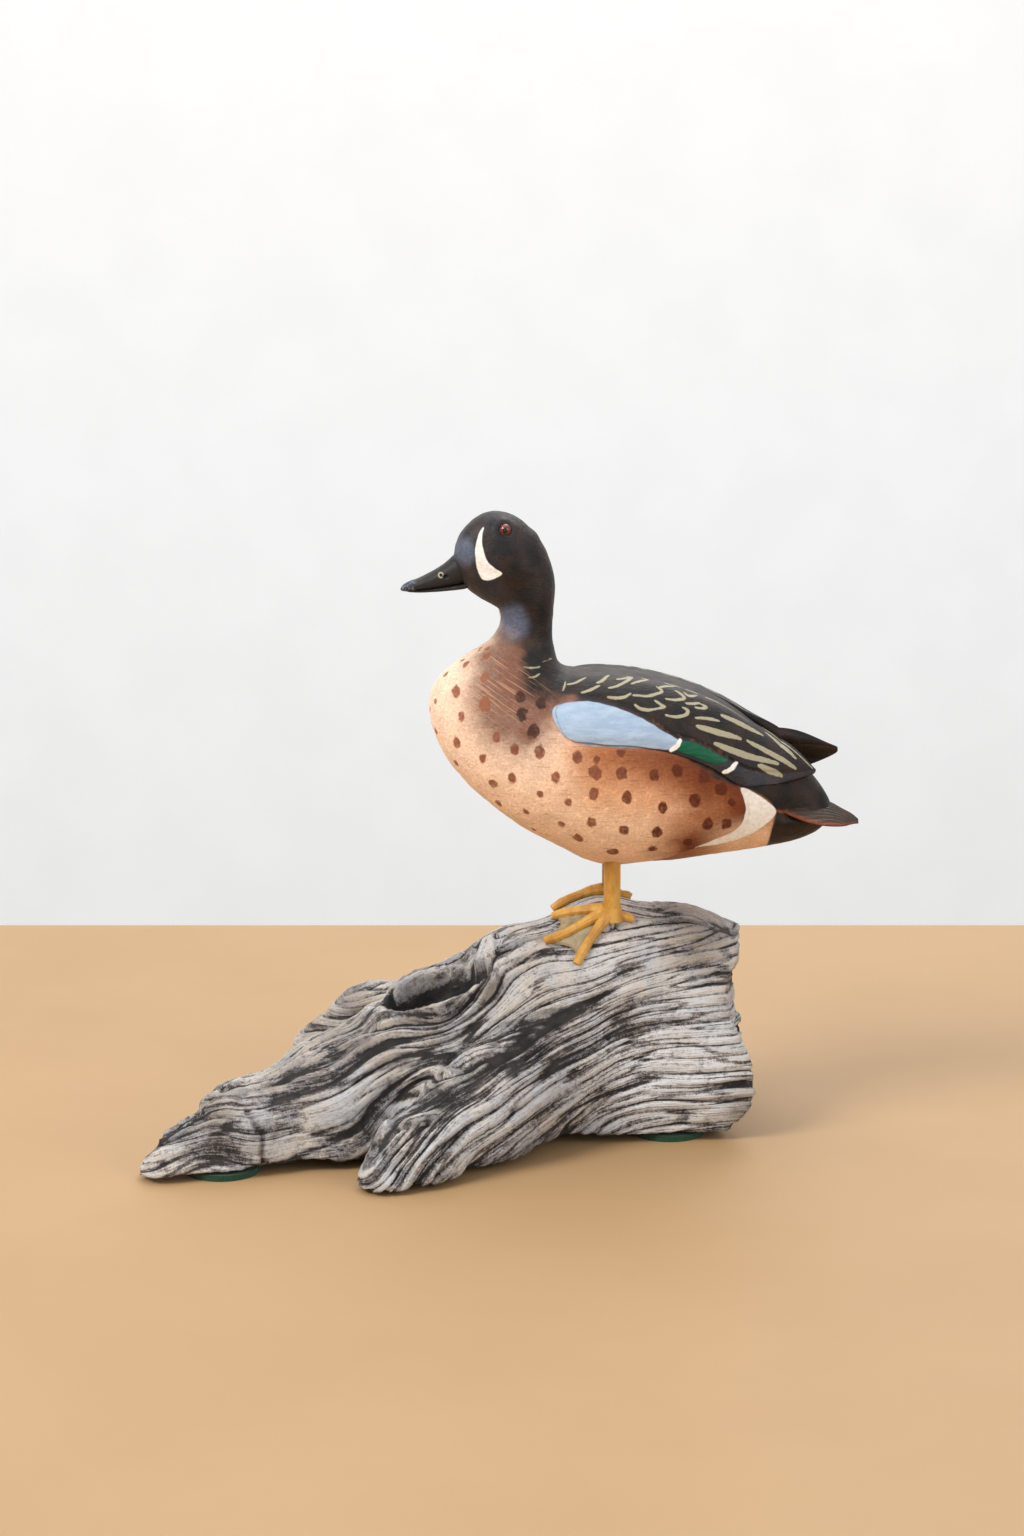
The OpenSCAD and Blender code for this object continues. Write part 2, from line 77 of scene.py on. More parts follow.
def along(table, s):
    """Smooth curve through the rows of a table, at a position counted in rows."""
    s = np.asarray(s, float)
    last = len(table) - 1
    i = np.clip(np.floor(s).astype(int), 0, last - 1)
    t = (s - i)[..., None]
    a, b = table[np.maximum(i - 1, 0)], table[i]
    c, d = table[i + 1], table[np.minimum(i + 2, last)]
    return 0.5 * (2 * b + (c - a) * t + (2 * a - 5 * b + 4 * c - d) * t**2 + (3 * b - a - 3 * c + d) * t**3)


def curve(points, steps=8):
    """A list of places as a smooth line through them."""
    table = np.array(points, float)
    return along(table, np.linspace(0, len(table) - 1, (len(table) - 1) * steps + 1))


def closed_curve(points, steps=6):
    """A list of places as a smooth closed outline through them."""
    n = len(points)
    table = np.array(list(points) * 3, float)
    return along(table, np.linspace(n, 2 * n, n * steps + 1))[:-1]


def signed_pow(value, power):
    return np.sign(value) * np.abs(value) ** power


def value_noise(points, size, seed=0):
    """Smooth noise from -1 to 1 with features of about that size."""
    q = points / size
    cell = np.floor(q).astype(np.int64)
    f = q - cell
    f = f * f * (3 - 2 * f)
    total = np.zeros(len(points))
    for corner in range(8):
        step = np.array([corner & 1, corner >> 1 & 1, corner >> 2 & 1])
        c = cell + step
        h = c[:, 0] * 374761393 + c[:, 1] * 668265263 + c[:, 2] * 2147483647 + seed * 974634777
        h = (h ^ (h >> 13)) * 1274126177 & 0x7FFFFFFF
        h = (h ^ (h >> 16)) & 0xFFFF
        weight = np.prod(np.where(step == 1, f, 1 - f), axis=1)
        total += weight * (h / 32767.5 - 1)
    return total


def fractal(points, size, octaves=3, seed=0):
    total = np.zeros(len(points))
    for k in range(octaves):
        total += value_noise(points, size / 2**k, seed + k) / 2**k
    return total


def outline_distance(points, outline):
    """Distance in the plane to a closed outline, negative inside."""
    best = np.full(len(points), 1e9)
    inside = np.zeros(len(points), bool)
    for a, b in zip(outline, np.roll(outline, -1, axis=0)):
        best = np.minimum(best, segment_distance(points, a, b)[0])
        crosses = (a[1] > points[:, 1]) != (b[1] > points[:, 1])
        if a[1] != b[1]:
            x = a[0] + (points[:, 1] - a[1]) * (b[0] - a[0]) / (b[1] - a[1])
            inside ^= crosses & (points[:, 0] < x)
    return np.where(inside, -best, best)


def segment_distance(points, a, b):
    """Distance to a segment, and how far along it the nearest place is."""
    ab = b - a
    t = np.clip((points - a) @ ab / max(ab @ ab, 1e-9), 0, 1)
    return np.linalg.norm(points - a - t[:, None] * ab, axis=1), t


def line_distance(points, line, widths):
    """Distance to the edge of a stroke along a line, with its half width at each place, negative inside."""
    best = np.full(len(points), 1e9)
    for k in range(len(line) - 1):
        d, t = segment_distance(points, line[k], line[k + 1])
        best = np.minimum(best, d - (widths[k] + t * (widths[k + 1] - widths[k])))
    return best


# ---------------------------------------------------------------- mesh helpers
def link(name, data):
    """A new object in the scene."""
    obj = bpy.data.objects.new(name, data)
    bpy.context.scene.collection.objects.link(obj)
    return obj


def write_floats(mesh, fields):
    """One float attribute for each field."""
    for key, values in fields.items():
        attribute = mesh.attributes.new(key, "FLOAT", "POINT")
        attribute.data.foreach_set("value", np.asarray(values, np.float32))


def write_colours(mesh, name, values):
    attribute = mesh.attributes.new(name, "FLOAT_COLOR", "POINT")
    rows = np.ones((len(values), 4), np.float32)
    rows[:, :3] = np.clip(values, 0, 1)
    attribute.data.foreach_set("color", rows.ravel())


def make_object(name, points, faces, fields=None):
    """A smooth-shaded mesh object from points in working millimetres."""
    mesh = bpy.data.meshes.new(name)
    mesh.from_pydata(((points + ORIGIN) * MM).tolist(), [], faces)
    mesh.validate()
    write_floats(mesh, fields or {})
    mesh.shade_smooth()
    return link(name, mesh)


def plate_faces(rows, cols):
    """Faces of a closed plate: an upper grid, a lower grid and the rim between them."""
    n = rows * cols
    faces = []
    for i in range(rows - 1):
        for j in range(cols - 1):
            c = i * cols + j
            faces.append((c, c + 1, c + cols + 1, c + cols))
            faces.append((n + c, n + c + cols, n + c + cols + 1, n + c + 1))
    rim = list(range(cols))
    rim += [i * cols + cols - 1 for i in range(1, rows)]
    rim += [(rows - 1) * cols + j for j in range(cols - 2, -1, -1)]
    rim += [i * cols for i in range(rows - 2, 0, -1)]
    faces += [(a, n + a, n + b, b) for a, b in zip(rim, rim[1:] + rim[:1])]
    return faces


def tube_faces(rings, count):
    """Faces of a skin between rings of count points each."""
    faces = []
    for i in range(rings - 1):
        for k in range(count):
            a, b = i * count + k, i * count + (k + 1) % count
            faces.append((a, b, b + count, a + count))
    return faces


def closed_skin(rings, flat_end=True):
    """Points and faces of a skin over rings. Its start is flat, and its end flat or rounded."""
    n, m = rings.shape[:2]
    points = [rings.reshape(-1, 3)]
    faces = tube_faces(n, m)
    total = n * m
    for ring, row, flat, start in ((rings[0], 0, True, True), (rings[-1], n - 1, flat_end, False)):
        base = row * m
        if flat:
            points.append(ring)
            base, total = total, total + m
        points.append(ring.mean(0)[None])
        hub, total = total, total + 1
        for k in range(m):
            a, b = base + k, base + (k + 1) % m
            faces.append((hub, b, a) if start else (hub, a, b))
    return np.vstack(points), faces


def full_turn(count):
    return np.linspace(0, 2 * math.pi, count, endpoint=False)


def ring_normals(rings):
    """Outward normals of a skin over rings."""
    du = np.gradient(rings, axis=0)
    dv = np.roll(rings, -1, axis=1) - np.roll(rings, 1, axis=1)
    n = np.cross(dv, du)
    return n / np.maximum(np.linalg.norm(n, axis=-1, keepdims=True), 1e-9)


def push_out(rings, lift):
    """The rings with each place moved outwards by its lift in millimetres."""
    normals = ring_normals(rings).reshape(-1, 3)
    return (rings.reshape(-1, 3) + normals * lift[:, None]).reshape(rings.shape)


# ---------------------------------------------------------------- the bird's surface and painted areas
def loft(table, power, s, angle):
    """A place on the skin over a table of sections: section number, and angle from the top."""
    row = along(table, s)
    up = signed_pow(np.cos(angle), 2 / power)
    side = signed_pow(np.sin(angle), 2 / power)
    x = (row[..., 0] + row[..., 2]) / 2 + (row[..., 0] - row[..., 2]) / 2 * up
    z = (row[..., 1] + row[..., 3]) / 2 + (row[..., 1] - row[..., 3]) / 2 * up
    return np.stack([x, row[..., 4] * side, z], axis=-1)


def bird(s, angle):
    """A place on the bird, relative to its mid-plane."""
    return loft(SECTIONS, BODY_POWER, s, angle)


# Painted areas as outlines in side view, x and z in millimetres.
BLUE_AREA = closed_curve([
    [10.5, 113], [11.2, 115.2], [15.4, 116.3], [20, 116.5], [27.2, 115], [33.6, 112.5], [39.1, 109.3],
    [43.6, 106.5], [41.6, 104.9], [32.8, 105.3], [22, 105.8], [16.2, 106.7], [12.5, 109]])
GREEN_AREA = closed_curve([
    [43, 106.8], [46.3, 106.6], [51.5, 104.1], [55.7, 101.6], [52, 100.9], [47, 102.8], [42.2, 104.8]])
WHITE_AREA = closed_curve([
    [59, 94.2], [62.1, 93], [66.8, 89.5], [68.6, 86.8], [66, 83.7], [61.8, 80.9], [56, 78.6], [47.6, 77.4],
    [51.5, 79.4], [56.5, 81.7], [59.3, 84.2], [60.4, 88], [59.9, 91.2]], 4)
CRESCENT_AREA = closed_curve([
    [-7.3, 160.2], [-8.6, 158.3], [-9.5, 154.5], [-9.1, 150.2], [-8, 147.2], [-6.3, 146.6], [-4, 147.4],
    [-2.5, 148.6], [-4.6, 150], [-6.5, 152], [-7.6, 155.8], [-7.6, 158.4]], 5)
# Where the flank feathers end against the wing and the rump, shoulder to undertail.
FLANK_EDGE = curve([
    [8.9, 117], [9.4, 112], [11.6, 108.6], [16.1, 106.3], [24, 105.6], [32.8, 105.1], [39.3, 104.2],
    [45.8, 101.9], [50.5, 99.6], [54.1, 97.4], [57.6, 95], [59.6, 92.6], [60.5, 89], [60.1, 85.5],
    [57.5, 82.3], [52.6, 79.9], [48, 77.6]])
# Where the scapulars and tertials end above the wing bands.
RIDGE_LINE = curve([
    [12, 117.3], [18.5, 117.2], [24, 116.4], [30.9, 114.3], [36.6, 111.4], [41.6, 108.2], [46.3, 106.9],
    [51.5, 104.4], [56, 101.6], [60.5, 99], [66, 97.4], [71.5, 96.6], [79, 95.9]])
# The brown and dark areas of shoulder, back and head against the peach breast.
DARK_AREA = closed_curve([
    [-16, 166], [-17, 140], [-7, 133.4], [-1.5, 131.2], [3, 130], [4.2, 124], [5, 120], [10, 118.4],
    [17, 117.4], [30, 114.5], [44, 106.5], [43, 104], [58, 94.4], [60.5, 93.6], [63.5, 92.4],
    [66.8, 89.8], [68.8, 86.9], [72, 84.6], [80, 80.5], [90, 74], [100, 72], [100, 130], [30, 170]], 4)
# The reddish stripe where the tail's near edge leaves the body.
TAIL_STRIPE = np.array([[68.4, 87.1], [71.5, 86.2], [75.5, 84.7], [80, 82.9]])
# Spots on the breast and flank: x, z and size.
SPOTS = [
    [-17.5, 121, 1.6], [-12, 124.5, 2], [-6.5, 127, 2], [-7, 122, 2.2], [-14.5, 118, 2.6],
    [-20, 114.5, 1.4], [-7, 115.5, 3], [-13, 112, 2], [-21.5, 112, 1.2], [-20, 106.5, 1.4],
    [-4, 107, 2], [-14.5, 104.5, 2.4], [-14.5, 98.5, 2], [-7.5, 101.5, 2], [0.5, 104.5, 2.2],
    [0, 97, 2.4], [-5, 94.5, 2.4], [-3.5, 88.5, 2], [3.5, 87.5, 1.8], [5.5, 81.5, 1.6], [7.5, 93, 1.6],
    [11, 98, 2.5], [7, 104, 2.8], [5.5, 109, 3], [2.5, 113.5, 3], [2, 117.5, 2.6], [7.5, 116, 3],
    [14.5, 91, 2], [13, 84.5, 2], [17, 80.5, 2.6], [17, 103.5, 2.6], [21.5, 99.5, 3.2], [28, 99, 3],
    [28, 104.5, 2.4], [36.5, 98.5, 2.6], [42.5, 99.5, 3], [49.5, 98, 3], [54, 94, 3.2], [47, 91.5, 3.2],
    [38.5, 90, 2.6], [29.5, 92.5, 2.6], [21, 93.5, 2.6], [20.5, 86, 2.5], [29, 83.5, 2.5],
    [37.5, 82.5, 2.8], [36.5, 77.5, 2.6], [45.5, 79.5, 2.5], [50.5, 85, 3], [55.5, 84.5, 2.6],
    [57, 90.5, 2.4], [26, 76.5, 3.2], [-8.5, 128, 1.5], [-13, 125, 1.5], [21.5, 102.5, 1.8]]
# Curved strokes on the shoulder feathers, and long ones on the tertials, in side view.
SCALE_STROKES = [
    [[14.5, 120], [16.5, 120.5], [19, 121.5]], [[22, 120.5], [23.5, 121], [25, 122]],
    [[18, 118.5], [20, 119], [22.5, 120]],
    [[25, 119.5], [27.5, 120], [30, 121], [31, 121.7], [29.8, 122]],
    [[24.5, 117.5], [26.5, 117.3], [29, 117.5], [30.5, 118.2]],
    [[31, 120.2], [33.2, 120.6], [35.2, 121], [34.2, 121.6]],
    [[31.5, 117.8], [34.5, 117.5], [37, 117.8], [38.8, 118.4], [37.3, 119.4]],
    [[31.5, 115.7], [33, 114.8], [35, 114.5], [37.2, 114.8]],
    [[37, 116.6], [38.4, 115.6], [39.3, 115.1], [37.9, 114.8]],
    [[39.5, 116.8], [42.1, 116.4], [44.4, 116.6], [43.4, 117.8], [42, 118.2]],
    [[39.8, 113.3], [41.8, 112.7], [44.5, 113], [45.6, 113.8], [44.2, 114.6]],
    [[44.8, 115.4], [47, 115.2], [48.4, 115.3]], [[47.2, 114.4], [49.4, 114], [50.3, 114.3], [49, 115]],
    [[3, 124.5], [5.2, 124.2], [7.3, 124.3]], [[4, 122], [6, 122.1], [7.2, 122.8]],
    [[8, 125.3], [10.4, 125.6]], [[38, 119], [40, 119.2], [42, 119]],
    [[47.5, 112.1], [50.5, 111.7], [53.6, 111]], [[40, 120.7], [42, 120.3], [44.2, 120.3]],
    [[45.5, 118.7], [47.3, 118.2], [49.3, 118]], [[50.6, 116.4], [52.6, 115.9], [54.4, 115.6]],
    [[27, 121.2], [29, 121.3], [31, 121.9]], [[44.5, 117.6], [46, 116.8], [48, 116.7]]]
TERTIAL_STROKES = [
    [[47.8, 110.2], [53, 108.6], [58.8, 106.4]], [[54.2, 112], [59.7, 109.4], [65.2, 106.2]],
    [[52.1, 106], [56.5, 104.2], [61.7, 102], [69, 99.4]],
    [[61.2, 105.6], [65.9, 102.7], [70.6, 99.8], [73.8, 97.4]],
    [[66.6, 106.1], [70.3, 102.9], [74, 99.7]], [[63.9, 99.6], [67, 98], [69.9, 96.4]]]
EDGE_STROKES = [[[51.7, 116], [57, 113.5], [62.2, 110.6]], [[66.2, 107.8], [72.8, 102], [78.7, 96.4]]]
QUILLS = [[[40.7, 104.6], [42.3, 105.6], [43.4, 107.1]], [[54.5, 98.6], [56.2, 99.3], [57.9, 100.7]]]


def on_surface(places, points, side):
    """Each side-view place as the nearest of the points on that side."""
    near = points[points[:, 1] * side > -0.2]
    out = []
    for x, z in places:
        gap = (near[:, 0] - x) ** 2 + (near[:, 2] - z) ** 2 - 0.04 * near[:, 1] * side
        out.append(near[np.argmin(gap)])
    return np.array(out)


def sides_of(points):
    return [side for side in (LEFT, RIGHT) if np.any(points[:, 1] * side > 2)]


def spot_field(points):
    """Distance to the edge of the nearest spot, negative inside."""
    best = np.full(len(points), FAR)
    wobble = 0.45 * value_noise(points, 1.3, 3) + 0.25 * value_noise(points, 0.6, 4)
    for side in sides_of(points):
        centres = on_surface([s[:2] for s in SPOTS], points, side)
        for centre, spot in zip(centres, SPOTS):
            if np.hypot(centre[0] - spot[0], centre[2] - spot[1]) > 1.5:
                continue
            if side == RIGHT:
                centre = centre + np.array([math.sin(9 * spot[0]), 0, math.cos(7 * spot[1])]) * 1.5
            d = points - centre
            d = np.hypot(np.hypot(d[:, 0] * 1.12, d[:, 2] * 0.9), d[:, 1])
            best = np.minimum(best, d - 0.56 * spot[2])
    return best + wobble


def stroke_field(points, strokes, half_width, roundness=0.6):
    """Distance to the edge of the nearest stroke, negative inside. Strokes taper at both ends."""
    best = np.full(len(points), FAR)
    for side in sides_of(points):
        for stroke in strokes:
            line = curve(on_surface(stroke, points, side), 4)
            t = np.linspace(0, 1, len(line))
            widths = half_width * (0.25 + 0.75 * np.sin(math.pi * (0.08 + 0.84 * t)) ** roundness)
            near = np.abs(points[:, 0] - line[:, 0].mean()) < np.ptp(line[:, 0]) / 2 + 4
            best[near] = np.minimum(best[near], line_distance(points[near], line, widths))
    return best + 0.12 * value_noise(points, 0.7, 9)


def side_view(points):
    return points[:, [0, 2]]


def height_over(points, line):
    """Signed distance in side view to a line that runs in +x: positive above it, negative below."""
    flat = side_view(points)
    best = np.full(len(points), 1e9)
    sign = np.ones(len(points))
    for a, b in zip(line[:-1], line[1:]):
        d = segment_distance(flat, a, b)[0]
        ab = b - a
        cross = ab[0] * (flat[:, 1] - a[1]) - ab[1] * (flat[:, 0] - a[0])
        sign = np.where(d < best, np.sign(cross), sign)
        best = np.minimum(best, d)
    return best * sign


def srgb(*rgb):
    c = np.array(rgb, float) / 255
    return np.where(c <= 0.04045, c / 12.92, ((c + 0.055) / 1.055) ** 2.4)


def blend(under, colour, amount):
    return under + (colour - under) * np.clip(amount, 0, 1)[:, None]


PEACH, BELLY, BELLY_LOW = srgb(252, 218, 192), srgb(252, 214, 180), srgb(250, 208, 172)
FLANK_MID, FLANK_UP, FLANK_REAR = srgb(222, 160, 114), srgb(178, 112, 70), srgb(108, 47, 18)
FLANK_DARK = srgb(120, 74, 50)
SMOKE, SMOKE_DARK = srgb(128, 88, 72), srgb(76, 54, 48)
TAN = srgb(118, 80, 62)
CHARCOAL, BLACK, RUMP = srgb(33, 31, 31), srgb(23, 22, 23), srgb(17, 17, 17)
HEAD_GREY, HEAD_BLUE, NECK_BLUE = srgb(38, 38, 42), srgb(98, 108, 128), srgb(88, 98, 120)
CHEEK, NAPE, JAW = srgb(25, 21, 21), srgb(28, 24, 24), srgb(52, 52, 58)
UNDERTAIL, TAIL_BROWN, TAIL_EDGE = srgb(20, 15, 13), srgb(62, 51, 44), srgb(118, 62, 38)
TAIL_GROOVE, TAIL_CHIP = srgb(52, 44, 40), srgb(196, 176, 152)
HALO, PRIMARY_GREY, WING_CHIP = srgb(238, 190, 160), srgb(44, 46, 54), srgb(118, 80, 60)
SPOT_BROWN, SPOT_BREAST, SPOT_FLANK = srgb(150, 92, 66), srgb(108, 62, 48), srgb(92, 38, 18)
SPOT_BELLY, SPOT_SHOULDER = srgb(166, 92, 38), srgb(62, 36, 28)


def patch(points, x, z, radius, stretch=1.0):
    """Soft round patch in side view, 1 at its middle."""
    d = np.hypot((points[:, 0] - x) / stretch, points[:, 2] - z)
    return 1 - smooth(0, radius, d)


def under_paint(points):
    """The softly blended colours under the crisp marks, body, wings, head and tail alike."""
    x, z = points[:, 0], points[:, 2]
    rough = fractal(points, 7, 3, 11)
    fine = fractal(points, 1.6, 2, 17)
    colour = np.tile(PEACH, (len(points), 1))
    colour = blend(colour, BELLY, smooth(108, 84, z + 2 * rough))
    colour = blend(colour, BELLY_LOW, smooth(88, 74, z + 2 * rough))
    over_flank = height_over(points, FLANK_EDGE)
    back = smooth(4, 24, x + 2 * rough)
    colour = blend(colour, FLANK_MID, 0.85 * back * smooth(80, 98, z + 3 * rough))
    below_edge = -over_flank + 2 * rough + fine
    colour = blend(colour, FLANK_UP, 0.95 * smooth(10, 24, x) * smooth(16, 1, below_edge))
    colour = blend(colour, FLANK_DARK, 0.4 * smooth(14, 34, x) * smooth(7, 0, below_edge))
    colour = blend(colour, FLANK_UP, 0.75 * smooth(34, 50, x + 3 * rough) * smooth(78, 88, z))
    rear = smooth(22, 48, x + 2 * rough) * smooth(13, 0, -over_flank + 2 * rough)
    rear = rear * smooth(0.3, -0.1, over_flank)
    colour = blend(colour, FLANK_REAR, 0.95 * rear)
    tan = smooth(0.05, 0.7, patch(points, 1, 118, 24, 1.0) + 0.08 * rough + 0.05 * fine)
    colour = blend(colour, TAN, 0.9 * tan * smooth(-20, -6, x) * smooth(40, 16, x))
    smoke = patch(points, 3, 122, 17, 0.8)
    smoke = np.maximum(smoke, 0.62 * patch(points, 5, 110, 9, 0.8))
    smoke = np.maximum(smoke, patch(points, 9, 117.5, 10, 1.5))
    smoke = smooth(0.1, 0.62, smoke + 0.1 * rough + 0.08 * fine) * smooth(-16, -1, x)
    colour = blend(colour, SMOKE, 0.9 * smoke)
    darkest = smooth(0.45, 0.9, patch(points, 8, 120.5, 13, 1.2) + 0.08 * rough)
    colour = blend(colour, SMOKE_DARK, 0.8 * darkest)
    flat = side_view(points)
    halo = smooth(1.5, 0.3, np.abs(outline_distance(flat, BLUE_AREA) - 0.6))
    front = smooth(17, 9, x + 0.3 * (116 - z))
    colour = blend(colour, HALO, 0.4 * halo * front * smooth(114.5, 111, z))
    dark = outline_distance(flat, DARK_AREA) + 0.5 * rough
    soft_edge = 0.6 + 2.4 * smooth(18, 9, x)
    colour = blend(colour, CHARCOAL, smooth(soft_edge, -1.2, dark + 0.6 * fine) * smooth(136, 128, z))
    colour = blend(colour, BLACK, smooth(40, 62, x) * smooth(0.5, -0.5, dark))
    colour = blend(colour, RUMP, smooth(58, 66, x) * smooth(0.5, -0.5, dark))
    behind = height_over(points, np.array([[68.6, 87.2], [67.4, 81.7], [66.2, 72]])[::-1])
    colour = blend(colour, BELLY_LOW * 0.92, smooth(46, 60, x) * smooth(88, 80, z) * smooth(-0.6, 0.6, dark))
    colour = blend(colour, UNDERTAIL, smooth(0.3, -0.3, behind) * smooth(60, 64, x) * smooth(90, 86, z))
    stripe = line_distance(flat, TAIL_STRIPE, [0.15, 0.6, 0.7, 0.4])
    colour = blend(colour, TAIL_EDGE * 1.5, smooth(0.3, -0.3, stripe + 0.2 * fine))
    return colour


def head_paint(points, colour):
    x, z = points[:, 0], points[:, 2]
    rough = fractal(points, 6, 3, 31)
    neck = smooth(128.5, 135, z + 0.35 * x + 1.2 * rough)
    grey = np.tile(HEAD_GREY, (len(points), 1))
    cheek = patch(points, 2.5, 149.5, 12) + 0.1 * rough
    grey = blend(grey, CHEEK, 0.95 * smooth(0.1, 0.75, cheek))
    grey = blend(grey, NAPE, 0.95 * smooth(147, 138, z) * smooth(-1, 4, x + rough))
    throat = patch(points, 0, 135.5, 9, 0.9) + 0.1 * rough
    grey = blend(grey, NECK_BLUE, 0.95 * smooth(0.15, 0.8, throat))
    forehead = patch(points, -12.2, 153.5, 6.5, 0.75) + 0.1 * rough
    grey = blend(grey, HEAD_BLUE, 0.8 * smooth(0.1, 0.8, forehead))
    grey = blend(grey, JAW, 0.6 * smooth(147.5, 142, z) * smooth(-1, -6, x))
    return blend(colour, grey, neck)


# ---------------------------------------------------------------- materials
class Look:
    """A node material while it is being put together."""

    def __init__(self, name):
        self.material = bpy.data.materials.new(name)
        self.material.use_nodes = True
        self.tree = self.material.node_tree
        self.shader = self.tree.nodes["Principled BSDF"]
        self.place = self.node("TexCoord").outputs["Object"]

    def node(self, kind, values=None, **settings):
        node = self.tree.nodes.new("ShaderNode" + kind)
        for key, value in settings.items():
            setattr(node, key, value)
        for key, value in (values or {}).items():
            self.join(value, node.inputs[key])
        return node

    def join(self, value, socket):
        if isinstance(value, bpy.types.NodeSocket):
            self.tree.links.new(value, socket)
        else:
            socket.default_value = value

    def field(self, name):
        return self.node("Attribute", attribute_name=name).outputs["Fac"]

    def paint_field(self, name):
        return self.node("Attribute", attribute_name=name).outputs["Color"]

    def calc(self, operation, a, b=0.0):
        return self.node("Math", {0: a, 1: b}, operation=operation).outputs[0]

    def add(self, base, *parts):
        """The base with each part added to it, times that part's weight."""
        for part, weight in parts:
            base = self.calc("ADD", base, self.calc("MULTIPLY", part, weight))
        return base

    def noise(self, size, detail=2.0, stretch=(1, 1, 1), place=None, roughness=0.5,
              per_unit=1 / MM, lean=0.0):
        """Noise with features of about that size, longer where stretch is over 1, leaning in side view."""
        scale = tuple(per_unit / (size * s) for s in stretch)
        turn = (0, math.radians(lean), 0)
        leaning = self.node("Mapping", {"Vector": place or self.place, "Rotation": turn})
        spread = self.node("Mapping", {"Vector": leaning.outputs[0], "Scale": scale})
        values = {"Vector": spread.outputs[0], "Scale": 1.0, "Detail": detail, "Roughness": roughness}
        return self.node("TexNoise", values).outputs[0]

    def step(self, value, low, high):
        values = {"Value": value, "From Min": low, "From Max": high}
        return self.node("MapRange", values, interpolation_type="SMOOTHSTEP").outputs[0]

    def inside(self, value, soft=0.14):
        """1 where a distance in millimetres is negative, 0 where it is positive."""
        return self.calc("SUBTRACT", 1.0, self.step(value, -soft, soft))

    def mix(self, amount, a, b, blend_type="MIX"):
        node = self.node("Mix", data_type="RGBA", blend_type=blend_type)
        for value, index in ((amount, 0), (a, 6), (b, 7)):
            self.join(rgba(value) if isinstance(value, (tuple, np.ndarray)) else value, node.inputs[index])
        return node.outputs[2]

    def shades(self, value, low, high, a, b):
        """Colour a where the value is under low, b where it is over high."""
        return self.mix(self.step(value, low, high), a, b)

    def finish(self, colour, roughness, height=None, strength=1.0, distance=0.3):
        self.join(colour, self.shader.inputs["Base Color"])
        self.join(roughness, self.shader.inputs["Roughness"])
        if height is not None:
            values = {"Height": height, "Strength": strength, "Distance": distance * MM}
            self.join(self.node("Bump", values).outputs[0], self.shader.inputs["Normal"])
        return self.material


def rgba(colour):
    return (*[float(c) for c in colour], 1.0)


def bird_look():
    look = Look("painted_plumage")
    colour = look.paint_field("under")
    stipple_and_highlight = look.noise(0.8, 3)
    streak = look.noise(0.55, 2, stretch=(7, 1.5, 1))
    colour = look.shades(look.noise(6, 4), 0.35, 0.7, colour, look.mix(0.13, colour, srgb(120, 85, 66)))
    # Paint mottle and painted highlights: lighter where the stipple's bumps rise; the streaks and fine dots
    # darken.
    for value, low, high, factor in (
            (stipple_and_highlight, 0.5, 0.72, (1.28, 1.24, 1.2)), (streak, 0.56, 0.74, (0.78, 0.73, 0.7)),
            (look.noise(0.5, 2), 0.5, 0.66, (0.86, 0.83, 0.81))):
        colour = look.shades(value, low, high, colour, look.mix(1.0, colour, factor, "MULTIPLY"))
    brush = look.noise(0.34, 2, stretch=(34, 34, 1), lean=-32)
    brushed = look.calc("MULTIPLY", look.step(brush, 0.55, 0.68), look.field("brushed"))
    colour = look.mix(look.calc("MULTIPLY", brushed, 0.55), colour, srgb(214, 160, 128))
    spots = look.inside(look.field("spots"), 0.3)
    covering = look.add(0.78, (look.step(look.noise(1.1, 2), 0.25, 0.6), 0.22))
    colour = look.mix(look.calc("MULTIPLY", spots, covering), colour, look.paint_field("spot_paint"))
    strokes = look.inside(look.field("strokes"))
    colour = look.mix(look.calc("MULTIPLY", strokes, 0.9), colour, srgb(172, 163, 136))
    blue = look.inside(look.field("blue"), 0.18)
    brushing = look.noise(1.2, 3, stretch=(4, 4, 1))
    blue_paint = look.shades(brushing, 0.3, 0.7, srgb(154, 174, 198), srgb(172, 191, 210))
    colour = look.mix(blue, colour, blue_paint)
    green = look.inside(look.field("green"), 0.18)
    brushing = look.noise(0.9, 3, stretch=(5, 5, 1))
    green_paint = look.shades(brushing, 0.35, 0.65, srgb(10, 78, 52), srgb(18, 96, 66))
    colour = look.mix(green, colour, green_paint)
    cream = look.inside(look.field("cream"), 0.16)
    cream_paint = look.shades(look.noise(1.0, 3), 0.3, 0.7, srgb(236, 229, 219), srgb(252, 249, 243))
    colour = look.mix(cream, colour, cream_paint)
    lines = look.calc("MAXIMUM", strokes, cream)
    marks = look.calc("MAXIMUM", lines, look.calc("MAXIMUM", blue, green))
    height = look.calc("MULTIPLY", marks, 0.5)
    height = look.add(height, (stipple_and_highlight, 0.5), (streak, 0.4), (spots, 0.2))
    look.shader.inputs["Specular IOR Level"].default_value = 0.24
    return look.finish(colour, look.add(0.4, (look.noise(2.5, 3), 0.22)), height, 0.9, 0.26)


def bill_look():
    look = Look("painted_bill")
    colour = look.shades(look.noise(1.4, 4), 0.56, 0.75, srgb(44, 42, 42), srgb(66, 63, 63))
    nail = look.shades(look.noise(0.7, 3), 0.5, 0.64, srgb(44, 47, 58), srgb(128, 134, 148))
    for name, soft, paint in (
            ("nail", 0.5, nail), ("nostril", 0.12, srgb(172, 164, 148)), ("pit", 0.15, srgb(22, 20, 21))):
        colour = look.mix(look.inside(look.field(name), soft), colour, paint)
    look.shader.inputs["Specular IOR Level"].default_value = 0.25
    return look.finish(colour, look.add(0.42, (look.noise(1.5, 3), 0.25)), look.noise(0.7, 3), 0.5, 0.16)


